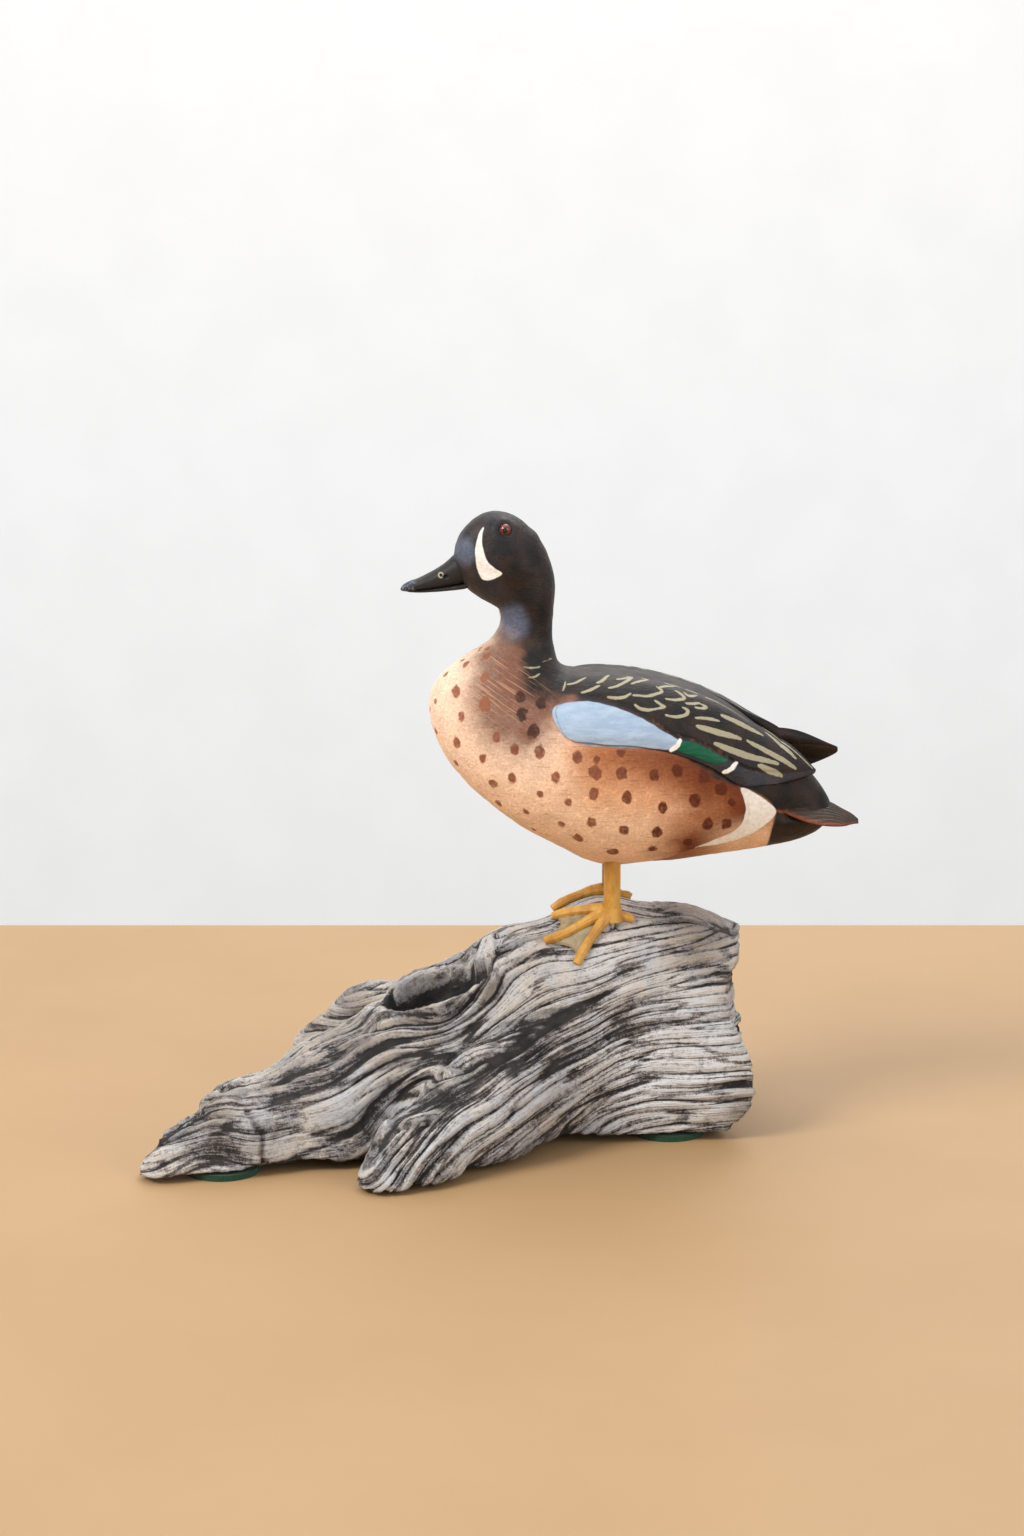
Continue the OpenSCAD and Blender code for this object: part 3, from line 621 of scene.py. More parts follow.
def eye_look():
    look = Look("glass_eye")
    turn = look.field("turn")
    fleck = look.step(look.noise(0.35, 3), 0.35, 0.65)
    iris = look.mix(fleck, srgb(92, 34, 26), srgb(140, 66, 44))
    colour = look.shades(turn, 0.44, 0.5, srgb(8, 7, 8), iris)
    colour = look.shades(turn, 1.12, 1.22, colour, srgb(24, 20, 20))
    look.shader.inputs["Coat Weight"].default_value = 0.3
    look.shader.inputs["Coat Roughness"].default_value = 0.06
    return look.finish(colour, look.add(0.24, (fleck, 0.06)), look.noise(0.4, 2), 0.05, 0.05)


def ochre_look(name, light, dark, worn):
    look = Look(name)
    brush = look.noise(0.45, 3, stretch=(1, 1, 7))
    colour = look.shades(look.noise(3, 4, stretch=(1, 1, 2.5)), 0.35, 0.68, light, dark)
    colour = look.shades(brush, 0.55, 0.75, colour, look.mix(0.35, colour, worn))
    colour = look.shades(look.noise(0.9, 4), 0.63, 0.72, colour, look.mix(0.5, colour, worn))
    height = look.calc("ADD", brush, look.noise(0.8, 3))
    return look.finish(colour, look.add(0.36, (look.noise(1.2, 3), 0.25)), height, 0.45, 0.15)


def wood_look():
    """Grey cast wood with a cream dry-brushed coat that catches the ridges and leaves the grooves dark."""
    look = Look("dry_brushed_driftwood")
    grain = look.node("CombineXYZ", {"X": look.field("run"), "Y": look.field("across")}).outputs[0]
    fine = look.noise(0.6, 4, stretch=(16, 1, 1), place=grain, per_unit=1)
    hair = look.noise(0.3, 3, stretch=(10, 1, 1), place=grain, per_unit=1)
    grit = look.noise(1.3, 5, roughness=0.75)
    speck = look.noise(0.42, 4, roughness=0.7)
    valley, scratch = [
        look.calc("SUBTRACT", 1.0, look.step(look.calc("ABSOLUTE", look.field(name)), 0.03, width))
        for name, width in (("ridge", 0.2), ("thin", 0.26))]
    level = look.calc("SUBTRACT", look.field("level"), look.calc("MULTIPLY", valley, look.field("bite")))
    level = look.calc("SUBTRACT", level, look.calc("MULTIPLY", scratch, 0.68))
    for part, weight in ((fine, 1.8), (speck, 1.5), (hair, 1.3), (grit, 1.7)):
        level = look.add(level, (look.calc("SUBTRACT", part, 0.5), weight))
    # Painted shade: the shade field darkens the wood.
    level = look.calc("SUBTRACT", level, look.calc("MULTIPLY", look.field("shade"), 0.8))
    light = look.shades(look.noise(9, 4), 0.38, 0.66, srgb(224, 215, 205), srgb(207, 208, 212))
    # Whiter ridges: the worn pale front root, and painted light on the lit lower right.
    light = look.mix(look.field("white"), light, srgb(248, 248, 250))
    light = look.mix(look.field("brown"), light, srgb(158, 139, 118))
    mid = look.shades(look.noise(5, 3), 0.35, 0.65, srgb(134, 124, 119), srgb(146, 143, 146))
    dark = look.shades(look.noise(4, 3), 0.4, 0.6, srgb(38, 35, 35), srgb(58, 52, 48))
    colour = look.shades(level, 0.0, 0.46, dark, mid)
    colour = look.shades(level, 0.36, 1.12, colour, light)
    chip = look.step(look.noise(0.6, 3), 0.7, 0.74)
    colour = look.mix(look.calc("MULTIPLY", chip, look.step(level, 0.2, 0.6)), colour, srgb(236, 234, 230))
    height = look.add(look.calc("MULTIPLY", fine, 1.0), (speck, 0.6), (hair, 0.5), (grit, 1.0))
    return look.finish(colour, look.add(0.55, (speck, 0.25)), height, 1.0, 0.85)


def felt_look():
    look = Look("green_felt")
    fibre = look.noise(0.35, 5, roughness=0.75)
    colour = look.shades(fibre, 0.35, 0.65, srgb(12, 50, 30), srgb(28, 76, 48))
    look.shader.inputs["Sheen Weight"].default_value = 0.15
    return look.finish(colour, look.add(0.85, (fibre, 0.1)), fibre, 1.0, 0.3)


def steel_look():
    look = Look("drawn_steel")
    line = look.noise(0.15, 3, stretch=(1, 1, 20))
    colour = look.shades(line, 0.4, 0.6, srgb(150, 152, 156), srgb(188, 190, 193))
    look.shader.inputs["Metallic"].default_value = 1.0
    return look.finish(colour, look.add(0.24, (line, 0.16)), line, 0.3, 0.05)


def dowel_look():
    look = Look("dowel_wood")
    line = look.noise(0.5, 4, stretch=(1, 1, 14))
    colour = look.shades(line, 0.35, 0.65, srgb(196, 158, 112), srgb(224, 192, 148))
    return look.finish(colour, look.add(0.5, (line, 0.2)), line, 0.4, 0.15)


def stage_look(name, colour):
    look = Look(name)
    tint = look.shades(look.noise(60, 3), 0.3, 0.7, srgb(*colour), srgb(*[c - 3 for c in colour]))
    return look.finish(tint, look.add(0.6, (look.noise(20, 2), 0.05)))


# ---------------------------------------------------------------- pieces of the bird
def dress(obj, node, look):
    """Lets a piece stand for a CAD node and its material."""
    obj.data.materials.clear()
    obj.data.materials.append(look)
    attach(obj, "root")
    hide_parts(node)
    return obj


def even_sections(low, high, step):
    """Section numbers from low to high that are about step millimetres apart on the bird."""
    s = np.linspace(low, high, 600)
    row = along(SECTIONS, s)
    back = np.hypot(np.diff(row[:, 0]), np.diff(row[:, 1]))
    belly = np.hypot(np.diff(row[:, 2]), np.diff(row[:, 3]))
    length = np.concatenate([[0], np.cumsum(np.maximum(back, belly))])
    return np.interp(np.linspace(0, length[-1], int(length[-1] / step) + 1), length, s)


def bird_marks(points, spotted):
    """Crisp marks as distances, for the parts below the head."""
    flat = side_view(points)
    rough = 0.12 * value_noise(points, 1.4, 5)
    spots = np.full(len(points), FAR)
    if spotted:
        spots = np.maximum(spot_field(points), height_over(points, FLANK_EDGE) + 0.3)
    cream = outline_distance(flat, WHITE_AREA) + rough
    return {
        "spots": spots,
        "blue": outline_distance(flat, BLUE_AREA) + rough,
        "green": outline_distance(flat, GREEN_AREA) + rough,
        "cream": np.minimum(cream, stroke_field(points, QUILLS, 0.62, 0.3)),
    }


def spot_paint(points):
    x, z = points[:, 0], points[:, 2]
    colour = np.tile(SPOT_BROWN, (len(points), 1))
    colour = blend(colour, SPOT_BREAST, smooth(96, 112, z) * smooth(-8, 4, x))
    colour = blend(colour, SPOT_FLANK, smooth(10, 45, x))
    colour = blend(colour, SPOT_BELLY, smooth(90, 78, z) * smooth(30, 5, x))
    colour = blend(colour, SPOT_SHOULDER, smooth(0.2, 1, patch(points, 5, 114, 16)))
    return colour


def paint_bird_piece(obj, points, fields, colour=None):
    """Stores the crisp marks and the soft colours, those of body and head if none are given."""
    if colour is None:
        colour = head_paint(points, under_paint(points))
    brushed = patch(points, -2, 118, 17) * smooth(131, 124, points[:, 2] + points[:, 0] * 0.4)
    write_floats(obj.data, fields)
    write_colours(obj.data, "under", colour)
    write_colours(obj.data, "spot_paint", spot_paint(points))
    write_floats(obj.data, {"brushed": smooth(0.05, 0.6, brushed)})


def place_bird(points):
    return points + np.array([0, BIRD_Y, 0])


def make_body(look):
    count = 300
    s = even_sections(0, SEAM, 0.5)
    rings = bird(s[:, None], full_turn(count)[None, :])
    rump = smooth(66, 76, rings[..., 0]) * smooth(83.2, 86.8, rings[..., 2])
    rings[..., 1] *= 1 - 0.27 * rump
    flat = rings.reshape(-1, 3)
    over = height_over(flat, FLANK_EDGE)
    raised = 0.55 * smooth(0.25, -0.35, over) * np.exp(np.minimum(over, 0) / 5) * smooth(7, 13, flat[:, 0])
    raised += 0.16 * smooth(0.2, -0.3, outline_distance(side_view(flat), WHITE_AREA))
    dip = -0.35 * smooth(1.2, 0.1, np.abs(over - 0.5)) * smooth(7, 12, flat[:, 0])
    soft = 0.12 * fractal(flat, 6, 3, 41) + 0.05 * value_noise(flat, 1.8, 44)
    lift = (raised + dip + soft) * smooth(0, 1.2, SEAM - np.repeat(s, count))
    points, faces = closed_skin(push_out(rings, lift))
    obj = make_object("body_sculpt", place_bird(points), faces)
    fields = bird_marks(points, True)
    strokes = stroke_field(points, SCALE_STROKES, 0.26)
    fields["strokes"] = np.where(points[:, 0] < 12, strokes, FAR)
    paint_bird_piece(obj, points, fields)
    return dress(obj, "body", look)


# Edges of a wing from shoulder to rump: section number, inner angle, outer angle.
WING_ROWS = np.array([
    [10.3, 18, 56], [9.4, 8, 70], [8.4, 4, 69.3], [7.4, 4, 68.7], [6.4, 4, 70.2], [5.4, 4, 74.7],
    [4.6, 4, 81.5], [4, 5, 75.1], [3.5, 5, 67.6]])
# Where the free tips of the wings end: inner corner, then outer corner.
LEFT_TIP = np.array([[79.7, -4, 95.9], [78.7, -5.2, 94.9]])
RIGHT_TIP = np.array([[84.6, 6.4, 100.6], [85.6, 10.4, 97.8]])


# Rows of a wing along the body, rows of its free tip, and places across it.
BODY_ROWS, TIP_ROWS, WING_COLS = 190, 60, 120


def wing_sheets(side, tip, arch, flare, tip_depth):
    """The wing's upper and lower sheet, in rows from the shoulder to the free tip.

    In millimetres, arch bows the free tip upwards, flare lifts the rear of the wing off the body,
    and tip_depth is how far the lower sheet hangs below the upper one at the tip.
    """
    shape = (BODY_ROWS, WING_COLS)
    u = np.linspace(0, 1, BODY_ROWS)
    v = np.linspace(0, 1, WING_COLS)[None, :]
    row = along(WING_ROWS, u * (len(WING_ROWS) - 1))
    section = along(SECTIONS, row[:, 0])
    u = u[:, None]
    angle = np.radians(row[:, 1:2] + v * (row[:, 2:3] - row[:, 1:2])) * side
    base = bird(row[:, 0:1], angle)
    middle = (section[:, 0] + section[:, 2]) / 2, np.zeros(BODY_ROWS), (section[:, 1] + section[:, 3]) / 2
    out = base - np.stack(middle, 1)[:, None, :]
    out /= np.linalg.norm(out, axis=-1, keepdims=True)
    flat = base.reshape(-1, 3)
    over_edge = height_over(flat, FLANK_EDGE).reshape(shape)
    over_ridge = height_over(flat, RIDGE_LINE).reshape(shape)
    lift = 0.12 + 0.95 * smooth(-0.6, 3, over_edge) * smooth(0, 0.22, u)
    lift += 0.42 * smooth(-0.25, 0.45, over_ridge) * smooth(0.05, 0.3, u)
    inner = smooth(0, 0.34, v) * smooth(1, 0.72, u) + smooth(0.72, 1, u)
    lift = -0.15 + (lift + 0.15) * np.clip(inner, 0, 1)
    lift += 0.07 * fractal(flat, 5, 3, 51).reshape(shape)
    upper = base + out * lift[..., None]
    lower = base - out * 0.35
    spread = flare * (1 - 0.7 * v)
    upper[..., 2] += smooth(0.55, 1, u) * spread
    lower[..., 2] += smooth(0.7, 1, u) * spread * 0.8 * smooth(0, 0.4, v)

    t = np.linspace(0, 1, TIP_ROWS + 1)[1:, None, None]
    goal = tip[0] + v[..., None] * (tip[1] - tip[0])
    goal[..., 0] += 0.4 * tip_depth * (np.sin(math.pi * v) - 0.2)
    bow = arch * np.sin(math.pi * t) * (1 - 0.6 * t) * (1.3 - v[..., None])
    rise = np.concatenate([np.zeros((TIP_ROWS, WING_COLS, 2)), bow], axis=2)
    depth = tip_depth * smooth(0, 0.4, t) * (1 - 0.75 * t**2)
    drop = np.array([0, 0, 1]) * depth * (0.3 + 0.7 * v[..., None])
    upper_tip = upper[-1] + t * (goal - upper[-1]) + rise
    lower_tip = lower[-1] + t * (goal - lower[-1]) + rise - drop
    return np.concatenate([upper, upper_tip]), np.concatenate([lower, lower_tip])


def wing_marks(points):
    """Crisp marks on a wing's upper sheet, and none on the lower one."""
    fields = bird_marks(points, False)
    strokes = stroke_field(points, SCALE_STROKES, 0.5)
    strokes = np.minimum(strokes, stroke_field(points, TERTIAL_STROKES, 0.95, 0.8))
    fields["strokes"] = np.minimum(strokes, stroke_field(points, EDGE_STROKES, 0.35))
    on_top = np.arange(len(points)) < len(points) // 2
    for key in ("strokes", "blue", "green", "cream"):
        fields[key] = np.where(on_top, fields[key], FAR)
    return fields


def wing_colour(points):
    x, z = points[:, 0], points[:, 2]
    over_ridge = height_over(points, RIDGE_LINE)
    feathers = blend(np.tile(CHARCOAL, (len(points), 1)), BLACK, smooth(20, 55, x))
    feathers = blend(feathers, PRIMARY_GREY, smooth(0.2, -0.2, over_ridge))
    on_wing = smooth(-0.25, 0.15, outline_distance(side_view(points), BLUE_AREA)) * smooth(15, 18, x)
    on_wing = np.maximum(on_wing, smooth(0.3, 1.2, over_ridge) * smooth(5, 11, x + z - 114))
    on_wing = on_wing * smooth(-0.1, 0.15, height_over(points, FLANK_EDGE))
    colour = blend(under_paint(points), feathers, np.where(x > 56, 1, on_wing))
    chips = smooth(0.9, 0.3, np.abs(over_ridge - 0.3)) * smooth(0.25, 0.6, value_noise(points, 0.7, 61))
    return blend(colour, WING_CHIP, 0.5 * chips * smooth(28, 40, x) * smooth(68, 60, x))


def make_wing(name, node, side, sheets, look):
    upper, lower = sheets
    faces = plate_faces(BODY_ROWS + TIP_ROWS, WING_COLS)
    if side == RIGHT:
        faces = [face[::-1] for face in faces]
    points = np.vstack([upper.reshape(-1, 3), lower.reshape(-1, 3)])
    obj = make_object(name, place_bird(points), faces)
    paint_bird_piece(obj, points, wing_marks(points), wing_colour(points))
    return dress(obj, node, look)


# The eye's middle on the right side, and its radius.
EYE_AT = np.array([-1.8, 6.0, 159.4])
EYE_R = 1.6


def no_marks(points):
    return {key: np.full(len(points), FAR) for key in ("spots", "blue", "green", "cream", "strokes")}


def make_head(look):
    count = 220
    s = even_sections(SEAM, len(SECTIONS) - 1, 0.32)
    rings = bird(s[:, None], full_turn(count)[None, :])
    flat = rings.reshape(-1, 3)
    x, z = flat[:, 0], flat[:, 2]
    from_eye = np.hypot(x - EYE_AT[0], z - EYE_AT[2])
    on_side = smooth(3, 5, np.abs(flat[:, 1]))
    lift = 0.1 * fractal(flat, 5, 3, 71) + 0.04 * value_noise(flat, 1.5, 74)
    # The lid round the eye, the socket, the cheek, the nape and the groove along the jaw.
    lift += 0.22 * np.exp(-((from_eye - 2.5) / 0.7) ** 2) * on_side
    lift -= 0.35 * smooth(2.1, 1.2, from_eye) * on_side
    lift += 0.5 * patch(flat, 1, 150.5, 7) * on_side
    lift += 0.35 * patch(flat, 7, 158.2, 3.2)
    lift -= 0.25 * np.exp(-((z - 147 + 0.25 * x) / 1.6) ** 2) * smooth(0, -6, x) * on_side
    lift *= smooth(0, 1.2, np.repeat(s, count) - SEAM)
    points, faces = closed_skin(push_out(rings, lift), flat_end=False)
    obj = make_object("head_sculpt", place_bird(points), faces)
    crescent = outline_distance(side_view(points), CRESCENT_AREA) + 0.1 * value_noise(points, 1.2, 77)
    fields = no_marks(points)
    fields["spots"] = spot_field(points)
    fields["cream"] = np.where(np.abs(points[:, 1]) > 2, crescent, FAR)
    paint_bird_piece(obj, points, fields)
    return dress(obj, "head_and_neck", look)


# Sections of the two halves of the bill, in the same order as the bird's.
UPPER_BILL = np.array([
    [-12.4, 154.4, -11.6, 144.9, 4.1], [-13.2, 153.4, -12.2, 144.7, 4.3], [-14.8, 152.3, -13.2, 144.5, 4.5],
    [-16.8, 150.5, -15, 144.2, 4.3], [-19.2, 148.7, -18, 143.7, 4], [-22, 147.1, -21.2, 143.3, 3.8],
    [-24.6, 145.8, -24.2, 143, 3.9], [-26.8, 144.9, -26.6, 142.8, 3.6], [-28.2, 144.1, -28.1, 142.7, 2.6],
    [-28.9, 143.4, -28.9, 142.9, 1]])
LOWER_BILL = np.array([
    [-8.5, 146.8, -8.5, 144.6, 2.8], [-12, 145.2, -12, 143.4, 3.5], [-14.8, 144.6, -14.6, 143, 3.6],
    [-18, 144.1, -17.8, 142.7, 3.3], [-21.2, 143.7, -21.2, 142.4, 3], [-24.2, 143.4, -24.2, 142.3, 2.9],
    [-26.6, 143.2, -26.6, 142.4, 2.4], [-27.9, 143.1, -27.9, 142.7, 1.3]])
# The nostril and the dark pit behind it, in side view.
NOSTRIL_AT = (-18.4, 147.3)
PIT_AT = (-17.3, 146.9)


def nostril_distances(points):
    """Distances in side view to the middle of the nostril and of the pit behind it."""
    x, z = points[:, 0], points[:, 2]
    hole = np.hypot(x - NOSTRIL_AT[0], z - NOSTRIL_AT[1])
    return hole, np.hypot((x - PIT_AT[0]) / 1.5, z - PIT_AT[1])


def make_bill(name, node, table, look):
    s = np.linspace(0, len(table) - 1, 150)
    rings = loft(table, BILL_POWER, s[:, None], full_turn(140)[None, :])
    flat = rings.reshape(-1, 3)
    hole, pit = nostril_distances(flat)
    on_side = smooth(0.8, 1.6, np.abs(flat[:, 1]))
    lift = 0.05 * fractal(flat, 3, 2, 81)
    if node == "upper_bill":
        lift += on_side * (0.2 * np.exp(-((hole - 0.6) / 0.28) ** 2) - 0.3 * smooth(0.45, 0.15, hole))
        lift -= on_side * 0.5 * smooth(0.8, 0.2, pit)
        lift += 0.12 * smooth(-25.2, -25.9, flat[:, 0]) * smooth(1.8, 1.2, np.abs(flat[:, 1]))
    points, faces = closed_skin(push_out(rings, lift), flat_end=False)
    hole, pit = nostril_distances(points)
    off_side = np.where(np.abs(points[:, 1]) > 1.2, 0, FAR)
    fields = {
        "nail": points[:, 0] + 25.4 + 0.5 * value_noise(points, 1, 83),
        "nostril": np.abs(hole - 0.6) - 0.2 + off_side,
        "pit": np.minimum(pit - 0.5, hole - 0.3) + off_side}
    return dress(make_object(name, place_bird(points), faces, fields), node, look)


def make_eye(name, node, side, look):
    count = 64
    turn = np.linspace(0.0, math.pi, 40)[1:]
    angle = full_turn(count)[None, :]
    rings = np.stack([
        EYE_R * np.sin(turn)[:, None] * np.cos(angle),
        side * EYE_R * np.cos(turn)[:, None] * np.ones((1, count)),
        EYE_R * np.sin(turn)[:, None] * np.sin(angle)], axis=-1)
    pole = np.array([[0, side * EYE_R, 0]])
    points = np.vstack([pole, rings.reshape(-1, 3)])
    faces = [(a + 1, b + 1, c + 1, d + 1) for a, b, c, d in tube_faces(len(turn), count)]
    faces += [(0, k + 1, (k + 1) % count + 1) for k in range(count)]
    if side == RIGHT:
        faces = [face[::-1] for face in faces]
    gaze = np.concatenate([[0], np.repeat(turn, count)])
    at = EYE_AT * np.array([1, side, 1])
    obj = make_object(name, place_bird(points + at), faces, {"turn": gaze})
    return dress(obj, node, look)


# Sections of the tail: x, height at its middle, half width, thickness, and how far its edges drop.
TAIL_ROWS = np.array([
    [69, 89.4, 12.6, 1.6, 2.2], [73, 88.6, 13.1, 1.5, 3.2], [77, 87.6, 13.1, 1.4, 3.8],
    [81, 86.6, 12, 1.2, 3.9], [84.4, 85.4, 10, 1.1, 3.4], [87.2, 83.9, 7.3, 1, 2.4],
    [89.5, 82.8, 4.3, 0.8, 1.5], [91.4, 81.4, 1.3, 0.6, 0.6]])


# The feathers' grooves converge at an x behind the tail; how they spread, and how close they lie.
FAN_X, FAN_SPREAD, FAN_PITCH = 97, 28, 1.25


def make_tail(look):
    rows, cols = 120, 130
    row = along(TAIL_ROWS, np.linspace(0, len(TAIL_ROWS) - 1, rows))
    v = np.linspace(-1, 1, cols)[None, :]
    x = row[:, 0:1] + 0 * v
    y = row[:, 2:3] * v
    middle = row[:, 1:2] - row[:, 4:5] * np.abs(v) ** 1.6
    half = row[:, 3:4] / 2 * (1 - 0.75 * v**4)
    fan = y / np.maximum(FAN_X - x, 4) * FAN_SPREAD
    # 0 in the grooves between the feathers, 1 on their middles.
    crown = np.abs(np.sin(fan * FAN_PITCH))
    feather = 0.28 * crown ** 0.6 - 0.2
    upper = np.stack([x, y, middle + half + feather], axis=-1)
    lower = np.stack([x, y, middle - half], axis=-1)
    points = np.vstack([upper.reshape(-1, 3), lower.reshape(-1, 3)])
    faces = [face[::-1] for face in plate_faces(rows, cols)]
    obj = make_object("tail_sculpt", place_bird(points), faces)
    edge = np.concatenate([np.abs(v + 0 * x).ravel()] * 2)
    line = np.concatenate([crown.ravel()] * 2)
    under = np.arange(len(points)) >= len(points) // 2
    colour = blend(np.tile(TAIL_BROWN, (len(points), 1)), TAIL_GROOVE, smooth(0.35, 0.05, line))
    rim = smooth(0.86, 0.97, edge + 0.04 * value_noise(points, 2, 91))
    colour = blend(colour, TAIL_EDGE, np.where(under, 0.75, rim))
    chips = smooth(0.9, 1, edge) * smooth(0.45, 0.7, value_noise(points, 1.1, 93))
    colour = blend(colour, TAIL_CHIP, chips * smooth(78, 84, points[:, 0]))
    paint_bird_piece(obj, points, no_marks(points), colour)
    return dress(obj, "tail", look)


# ---------------------------------------------------------------- the driftwood
# Grain lines in side view: how far the line is across the grain, then x and z along it.
GRAIN_LINES = [
    (20, [[-88, 3], [-75, 5], [-62, 5], [-49, 6], [-40, 8]]),
    (15, [[-89, 11], [-75, 13], [-64, 11], [-49, 15], [-38, 19], [-29, 22], [-15, 27]]),
    (8, [[-86, 16], [-72, 21], [-54, 24], [-39, 28], [-24, 31], [-11, 36]]),
    (1, [[-74, 26], [-58, 29], [-45, 33], [-35, 38]]),
    (4, [[-37, 34], [-24, 38], [-14, 40], [-6, 43], [-2, 47]]),
    (20, [[-37, 7], [-32, 14], [-26, 18], [-17, 24], [-6, 28], [6, 33], [20, 38],
          [33, 43], [49, 46], [60, 48]]),
    (28, [[-32, 4], [-23, 13], [-14, 19], [-3, 25], [12, 30], [28, 35], [44, 38], [60, 38]]),
    (36, [[-21, 4], [-11, 11], [-1, 18], [12, 23], [28, 27], [44, 30], [62, 30]]),
    (44, [[-8, 2], [2, 8], [12, 14], [28, 18], [44, 22], [61, 22]]),
    (52, [[6, 0], [15, 5], [28, 11], [44, 14], [62, 14]]), (60, [[24, 2], [39, 5], [61, 6]]),
    (12, [[-3, 46], [7, 45], [20, 46], [34, 49], [47, 51], [60, 53]]),
    (2, [[-10, 54], [3, 57], [20, 59], [40, 59], [60, 61]])]


def grain_field():
    """A function of side-view places that gives how far across the grain they are."""
    places, values = [], []
    for value, line in GRAIN_LINES:
        for place in line:
            places.append(place)
            values.append(value)
    places = np.array(places, float)
    n = len(places)
    gap = np.linalg.norm(places[:, None] - places[None], axis=-1)
    system = np.zeros((n + 3, n + 3))
    system[:n, :n] = spline_kernel(gap) + 40 * np.eye(n)
    system[:n, n] = system[n, :n] = 1
    system[:n, n + 1:] = places
    system[n + 1:, :n] = places.T
    weights = np.linalg.solve(system, np.concatenate([values, np.zeros(3)]))

    def across(flat):
        r = np.linalg.norm(flat[:, None] - places[None], axis=-1)
        return spline_kernel(r) @ weights[:n] + weights[n] + flat @ weights[n + 1:]

    return across


def spline_kernel(r):
    return r**2 * np.log(np.maximum(r, 1e-6))


# Places on the wood in side view, for the near side: x, z, radius and strength.
# The shaded places: painted shade in the folds and low on the wood.
SHADED_PLACES = [
    [14, 35, 11, 0.7], [24, 38, 9, 0.6], [5, 29, 8, 0.55], [-18, 2, 8, 0.45], [-45, 3, 8, 0.5],
    [-62, 2, 7, 0.5], [-36, 10, 6, 0.3], [8, 4, 9, 0.4], [-84, 2, 7, 0.4], [-9, 25, 7, 0.2],
    [-77, 10, 12, 0.12], [30, 8, 9, 0.3], [-14, 14, 6, 0.3]]
# White places whiten the ridges: the first is the pale worn end of the front root; the broad ones on the
# lower right are painted light.
WHITE_AND_LIT_PLACES = [
    [-31.5, 3, 3.5, 1], [34, 18, 24, 0.9], [50, 20, 18, 0.9], [24, 48, 16, 0.5], [-10, 10, 14, 0.4],
    [48, 38, 14, 0.5]]
BROWN_PLACES = [
    [50, 53, 16, 0.8], [62, 40, 10, 0.6], [-44, 30, 14, 0.7], [-24, 38, 12, 0.45], [60, 10, 8, 0.6],
    [-6, 42, 6, 0.7], [-76, 16, 12, 0.6], [-55, 22, 14, 0.6], [-34, 26, 12, 0.45], [-64, 8, 8, 0.4]]


def place_field(points, places, noise):
    total = np.zeros(len(points))
    for x, z, radius, strength in places:
        total = np.maximum(total, strength * patch(points + 2.5 * noise[:, None], x, z, radius))
    return total


# The trunk's middle line in plan.
TRUNK_X = [-88, -70, -46, -20, 2, 24, 45, 66]
TRUNK_Y = [-33, -22, -9, 5, 14, 19, 21, 20]
# The knot hollow: its middle, the way it runs, the way up its slope, and its half length and half width.
HOLLOW_AT = np.array([-19.5, -3, 43])
HOLLOW_RUN = np.array([0.93, 0.149, 0.338])
HOLLOW_UP = np.array([-0.356, 0.61, 0.709])
HOLLOW_OUT = np.cross(HOLLOW_RUN, HOLLOW_UP)
HOLLOW_SIZE = (15.5, 6.0)
HOLLOW_DEPTH = 8.0
# The curled knob at the right-hand end of its near rim.
KNOB_AT = np.array([-7.6, -2.6, 42])


def hollow_push(points, normal):
    """How far each place moves to sink the knot hollow and to raise its rims."""
    d = points - HOLLOW_AT
    along_knot, up, out = d @ HOLLOW_RUN, d @ HOLLOW_UP, d @ HOLLOW_OUT
    near = smooth(13, 7, np.abs(out)) * smooth(-0.3, 0.2, normal @ HOLLOW_OUT)
    e = np.sqrt((along_knot / HOLLOW_SIZE[0]) ** 2 + (up / HOLLOW_SIZE[1]) ** 2)
    e = e + 0.06 * value_noise(points, 5, 121)
    sink = HOLLOW_DEPTH * np.sqrt(np.clip(1 - e**2, 0, 1)) * near
    rim = np.exp(-((e - 1.22) / 0.24) ** 2) * near * np.where(up < 0, 1.9, 1.1)
    inward = -0.85 * HOLLOW_OUT - 0.5 * HOLLOW_UP
    return sink[:, None] * inward + rim[:, None] * HOLLOW_OUT


# The crack across the pointed limb, in side view.
CRACK = np.array([[-67, 17], [-63.5, 11], [-63, 5], [-60.5, 2]], float)


def break_line(points):
    """1 in the crack, 0 away from it."""
    wobble = np.column_stack([value_noise(points, 3, 131), value_noise(points, 3, 132)])
    crack = line_distance(side_view(points) + 0.9 * wobble, CRACK, np.zeros(len(CRACK)))
    return smooth(1.1, 0.2, crack) * smooth(-8, -14, points[:, 1])


def grooves(grain):
    """Broad folds, and signed noises that follow the grain and pass zero in the valleys and scratches."""
    fold = value_noise(grain / [36, 8, 8], 1, 102)
    ridge = value_noise(grain / [28, 2.3, 4], 1, 103) + 0.22 * value_noise(grain / [10, 1.5, 3], 1, 104)
    thin = value_noise(grain / [16, 1.25, 2], 1, 105)
    return fold, ridge, thin


# Size of the remeshed driftwood's cells, and how often it is softened.
VOXEL, SOFTENING = 0.72, 14
# In side view, the bump on the pointed limb; then where the duck stands, and the lowest wood.
BUMP_AT = (-76, 21)
FEET_X, LOWEST = 18, 1.0


